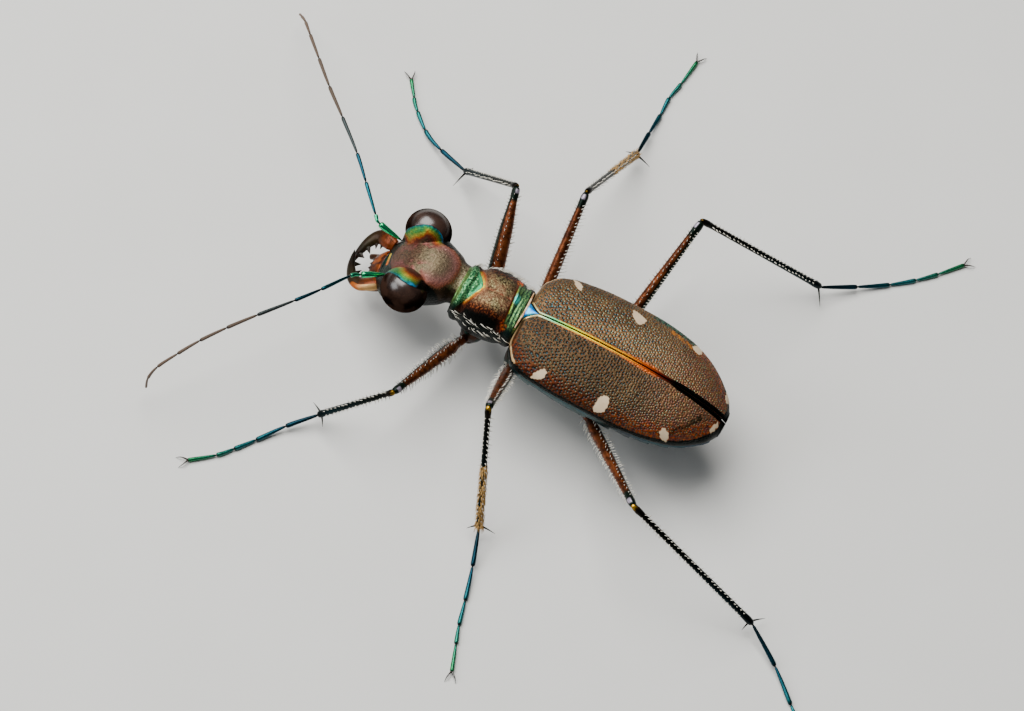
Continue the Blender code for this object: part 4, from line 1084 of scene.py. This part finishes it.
# The thigh turns black on its lower sides and at its knee end: partly its own black edges, partly
# painted shade on the sides that face down.
edge = (top + thigh_paint.mottle(0.5) * 0.3 - 0.15).ease(0.45, 0.12) + share.ease(0.84, 0.90)
rust = rust.tinted(edge.ease(0.0, 1.0), black)
knee_glint = share.ease(0.935, 0.95) * share.ease(0.985, 0.97) * top.ease(0.72, 0.95)
rust = rust.tinted(knee_glint, (170, 160, 176))
thigh_paint.finish(Base_Color=rust, Metallic=0.6, Roughness=0.34,
                   Normal=thigh_paint.relief(thigh_paint.cells(0.07), 0.006))

shin_paint = Paint("shin_dark", Specular_IOR_Level=0.2)
share = shin_paint.mark("share") + shin_paint.mottle(0.6) * 0.2 - 0.1
tone = shin_paint.ramp(share, (0.0, (22, 14, 6)), (0.08, (9, 11, 8)), (0.4, (6, 16, 14)),
                       (0.8, (9, 30, 34)), (1.0, (7, 18, 20)))
tone = tone.tinted(share.ease(0.02, -0.02) * shin_paint.mark("top").ease(0.3, 0.7), (206, 156, 30))
shin_paint.finish(Base_Color=tone, Metallic=0.85, Roughness=0.3,
                  Normal=shin_paint.relief(shin_paint.cells(0.06), 0.005))

foot_paint = Paint("foot_teal", Specular_IOR_Level=0.2)
share = foot_paint.mark("share")
tone = foot_paint.ramp(share, (0.0, (8, 30, 38)), (0.3, (12, 56, 72)), (0.6, (18, 96, 100)),
                       (1.0, (34, 124, 74)))
tone = tone.tinted(foot_paint.mottle(0.15) * 0.3, (10, 20, 24))
tone = tone.tinted(foot_paint.mark("joint") * 0.85, (10, 12, 12))
foot_paint.finish(Base_Color=tone, Metallic=0.75, Roughness=0.26,
                  Normal=foot_paint.relief(foot_paint.cells(0.05), 0.003))

claw_paint = Paint("claw_horn", Roughness=0.25, Coat_Weight=0.6)
claw_paint.finish(Base_Color=claw_paint.blend(claw_paint.mark("share"), (40, 26, 18), (12, 10, 9)))

TARSUS_Z = 0.105
edges = []
for leg, (name, (hip_at, knee, ankle, toes, stout)) in enumerate(LEGS.items()):
    hip_at, knee, ankle = np.array(hip_at), np.array(knee), np.array(ankle)
    side = np.sign(hip_at[0])
    thigh, shin = knee - hip_at, ankle - knee
    out = thigh / np.linalg.norm(thigh)
    plane = np.cross(thigh, shin)
    plane /= np.linalg.norm(plane)
    plane *= np.sign(plane[1]) or 1.0
    back = np.cross(plane, out)
    back *= np.sign(back[2])

    root = np.array((0.62 * hip_at[0], hip_at[1] + 0.12, 2.02))
    path = smooth_path((root, 0.5 * (root + hip_at) + (0.1 * side, 0, 0.1), hip_at,
                        hip_at + 0.42 * out), 8)
    t = np.linspace(0, 1, len(path))
    half = np.interp(t, (0, 0.3, 0.65, 0.9, 1.0), (0.5, 0.50, 0.42, 0.30, 0.12))
    piece = closed_mesh(f"{name}_hip", [sweep(path, half, half * 1.05, (0, 1, 0.2), 40)])
    fit(piece, hip.material, "coxae", f"{name}_coxa")

    path = hip_at + np.outer(np.linspace(0.055, 1.0, 72), thigh)
    t = np.linspace(0, 1, 72)
    half = np.interp(t, (0, 0.03, 0.09, 0.13, 0.22, 0.38, 0.62, 0.88, 0.955, 0.985, 1.0),
                     (0.10, 0.20, 0.20, 0.17, stout, 0.97 * stout, 0.84 * stout, 0.165, 0.18, 0.15,
                      0.06))
    piece = closed_mesh(f"{name}_thigh", [sweep(path, half * 0.92, half * 1.05, back, 32)])
    fit(piece, thigh_paint.material, "femora", f"{name}_femur")
    edges.append((3 * leg, name, "thigh", path, half, plane, back))

    path = knee + np.outer(np.linspace(-0.015, 1.0, 84), shin)
    t = np.linspace(0, 1, 84)
    half = np.interp(t, (0, 0.015, 0.05, 0.1, 0.5, 0.9, 0.96, 0.99, 1.0),
                     (0.05, 0.12, 0.145, 0.118, 0.122, 0.135, 0.155, 0.13, 0.06))
    down = shin / np.linalg.norm(shin)
    away = np.cross(plane, down)
    away *= np.sign(away[2]) or 1.0
    parts = [sweep(path, half, half, away, 24)]
    flat = np.array((*toes[0], 0)) - (*ankle[:2], 0)
    flat /= np.linalg.norm(flat)
    aside = np.array((-flat[1], flat[0], 0))
    inner = -1 if name in ("front_left", "middle_right", "hind_right") else 1
    for splay, size in ((inner, 1.0), (-inner, 0.7)):
        start = ankle - down * 0.16 + aside * splay * 0.06
        tip = ankle + down * 0.1 + (aside * splay * 0.68 - flat * 0.16) * size
        tip[2] = ankle[2] - 0.38 * size
        spur = smooth_path((start, (start + tip) / 2 + (0, 0, 0.03), tip), 6)
        half_spur = np.linspace(0.05, 0.006, len(spur))
        parts.append(sweep(spur, half_spur, half_spur, (0, 0, 1), 10))
        parts[-1][1]["share"] = 0.06 + 0 * parts[-1][1]["share"]
    piece = closed_mesh(f"{name}_shin", parts)
    fit(piece, shin_paint.material, "tibiae", f"{name}_tibia")
    edges.append((3 * leg + 1, name, "shin", path, half, plane, away))

    toes = np.array(toes) - (0.055, 0.006)
    drop = np.linspace(0, 1, len(toes) + 1)[1:]
    heights = TARSUS_Z + (ankle[2] - 0.06 - TARSUS_Z) * np.clip(1 - drop / 0.42, 0, None) ** 1.6
    joints = np.vstack([ankle + (0, 0, -0.02), np.column_stack([toes, heights])])
    path = smooth_path(joints, 10)
    bounds = travelled(path)[::10] if len(toes) == 5 else np.array((0, 0.29, 0.52, 0.70, 0.83, 1.0))
    parts = jointed(path, bounds, (0.06, 0.058, 0.055, 0.052, 0.05), (0.10, 0.096, 0.092, 0.088, 0.082),
                    (0, 0, 1), 18)
    piece = closed_mesh(f"{name}_foot", parts)
    fit(piece, foot_paint.material, "tarsi", f"{name}_tarsus")

    last = path[-1] - path[-4]
    last /= np.linalg.norm(last)
    beside = np.array((-last[1], last[0], 0))
    parts = []
    for splay in (1, -1):
        start = path[-1] - 0.05 * last
        middle = start + last * 0.26 + beside * splay * 0.15 + (0, 0, 0.04)
        tip = start + last * 0.46 + beside * splay * 0.22 + (0, 0, -0.085)
        claw = smooth_path((start, middle, tip), 8)
        half = np.linspace(0.042, 0.006, len(claw))
        parts.append(sweep(claw, half, half, (0, 0, 1), 12))
    piece = closed_mesh(f"{name}_claws", parts)
    fit(piece, claw_paint.material, "tarsi")


# Bristles: stiff white hairs along the legs and the sides of the pronotum, each one a thin cone
# of chitin rooted in the shell, and a golden brush on the two middle shins.
def bristles(name, roots, ways, lengths, bends, spots, thick):
    """Joined three-sided cones, bent: centre = root + way L s + bend L s^2 at s = 0, 0.5 and 1,
    with half-widths thick, 0.68 thick and 0. Each keeps a patch of the bake map at its spot."""
    count = len(roots)
    s = np.array((0.0, 0.5, 1.0))[None, :, None]
    reach = lengths[:, None, None] * s
    centre = roots[:, None] + ways[:, None] * reach + bends[:, None] * reach * s
    first = unit(np.cross(ways, (0.31, 0.52, 0.79)))
    second = np.cross(ways, first)
    angle = np.array((0, 2 * pi / 3, 4 * pi / 3))[None, :, None]
    ring = first[:, None] * np.cos(angle) + second[:, None] * np.sin(angle)
    foot = centre[:, 0, None] + ring * thick[:, None, None]
    waist = centre[:, 1, None] + ring * 0.68 * thick[:, None, None]
    points = np.concatenate([foot, waist, centre[:, 2:]], axis=1).reshape(-1, 3)
    quads = np.array(((0, 1, 4, 3), (1, 2, 5, 4), (2, 0, 3, 5)))
    tips = np.array(((3, 4, 6), (4, 5, 6), (5, 3, 6), (2, 1, 0)))
    corners = np.concatenate([quads.ravel(), tips.ravel()])[None] + 7 * np.arange(count)[:, None]
    patch = np.array(((0, 0), (1, 0), (2, 0), (0, 1), (1, 1), (2, 1), (1, 2))) * 0.001
    chart = (spots[:, None] + patch[None]).reshape(-1, 2)[corners.ravel()]
    piece = new_piece(name, points, corners.ravel(), np.tile((4, 4, 4, 3, 3, 3, 3), count))
    piece.data.uv_layers.new(name="OFBake").data.foreach_set("uv", chart.ravel().astype(np.float32))
    piece.data.shade_smooth()
    return piece


def between(t, path, half):
    """The middle and the half-width of a leg's tube at shares t of its rows."""
    rows = np.linspace(0, 1, len(path))
    middle = np.stack([np.interp(t, rows, path[:, k]) for k in range(3)], axis=1)
    return middle, np.interp(t, rows, half)


white = Paint("bristle_white", Roughness=0.5, Specular_IOR_Level=0.3)
white.finish(Base_Color=white.blend(white.mottle(0.4), (244, 242, 232), (214, 206, 188)))
draw = np.random.default_rng(8)
rows = []
for number, name, part, path, half, plane, back in edges:
    span = np.linalg.norm(path[-1] - path[0])
    down = (path[-1] - path[0]) / span
    for row, around in enumerate((-8, 50, 128, 188)):
        gap, long = (0.19, 0.20) if part == "thigh" else (0.20, 0.14)
        gap, long = (gap * 0.75, long * 1.3) if row in (0, 3) and part == "thigh" else (gap, long)
        t = np.arange(0.09, 0.93, gap / span)
        t = t + (draw.random(len(t)) - 0.5) * 0.35 * gap / span
        at, thick = between(t, path, half)
        angle = radians(around) + 0.3 * (draw.random(len(t)) - 0.5)
        sideways = plane * np.cos(angle)[:, None] + back * np.sin(angle)[:, None]
        ways = sideways + down * (0.15 + 0.3 * draw.random(len(t)))[:, None]
        lengths = long * (0.7 + 0.5 * draw.random(len(t))) * (1.25 - 0.5 * t)
        bends = np.outer(0.1 + 0.15 * draw.random(len(t)), down)
        spots = np.column_stack([0.03 + 0.9 * t, np.full(len(t), 0.03 + (number + 0.25 * row) / 20)])
        rows.append((at + sideways * thick[:, None] * 0.92, unit(ways), lengths, bends, spots))
fringe = [np.concatenate(column) for column in zip(*rows)]
leg_hair = bristles("leg_bristles", *fringe, 0.021 + 0.006 * draw.random(len(fringe[0])))
fit(leg_hair, white.material, "femora")

gold = Paint("brush_gold", Roughness=0.5, Specular_IOR_Level=0.3)
gold.finish(Base_Color=gold.blend(gold.mottle(0.3), (226, 184, 116), (176, 128, 62)))
rows = []
for number, name, part, path, half, plane, back in edges:
    if part != "shin" or not name.startswith("middle"):
        continue
    down = (path[-1] - path[0]) / np.linalg.norm(path[-1] - path[0])
    count = 420
    t = 0.98 - 0.52 * draw.random(count) ** 1.2
    angle = draw.random(count) * 2 * pi
    at, thick = between(t, path, half)
    sideways = unit(plane * np.cos(angle)[:, None] + back * (0.2 + 0.8 * np.sin(angle))[:, None])
    lengths = 0.16 + 0.14 * draw.random(count)
    bends = np.outer(np.full(count, 0.1), down)
    spots = np.column_stack([0.03 + 0.9 * t, (number + angle / 7) / 20])
    roots = at + sideways * thick[:, None] * 0.9
    rows.append((roots, unit(sideways * 0.35 + down), lengths, bends, spots))
brush = [np.concatenate(column) for column in zip(*rows)]
shin_brush = bristles("shin_brush", *brush, 0.013 + 0.004 * draw.random(len(brush[0])))
fit(shin_brush, gold.material, "tibiae")

count = 150
left = np.arange(count) < 32
y = np.where(left, -2.95 + 2.35 * (np.arange(count) + draw.random(count)) / 32,
             -2.95 + 2.5 * draw.random(count))
side = np.where(left, 1.0, -1.0)
lift = np.radians(np.where(left, 4 + 26 * draw.random(count) ** 1.5, 6 + 34 * draw.random(count)))
middle = -tan(radians(2)) * (y + 0.42)
half = through(y, SHIELD_Y, SHIELD_HALF)
high, base = through(y, SHIELD_Y, SHIELD_TOP), through(y, SHIELD_Y, SHIELD_LOW)
roots = np.column_stack([middle + side * half * np.cos(lift) ** 0.9 * 0.99, y,
                         (high + base) / 2 + (high - base) / 2 * np.sin(lift) ** 0.9])
loose = draw.random((count, 3))
ways = unit(np.where(left[:, None], (0.45, -0.3, 0.3) + loose * (0.3, 1.3, 0.5),
                     (-0.5, 0.2, 0.35) + loose * (-0.4, 0.6, 0.4)))
bends = np.where(left[:, None], (-0.25, 0.35, -0.15), (0.15, 0.35, -0.25)) * (0.6 + 0.8 * loose[:, :1])
lengths = np.where(left, 0.42, 0.27) * (0.75 + 0.5 * draw.random(count))
spots = np.column_stack([0.03 + 0.9 * (y + 3) / 2.6, 0.5 + 0.4 * side * (0.2 + lift)])
shield_hair = bristles("pronotum_bristles", roots, ways, lengths, bends, spots,
                       0.014 + 0.004 * draw.random(count))
fit(shield_hair, white.material, "pronotum")
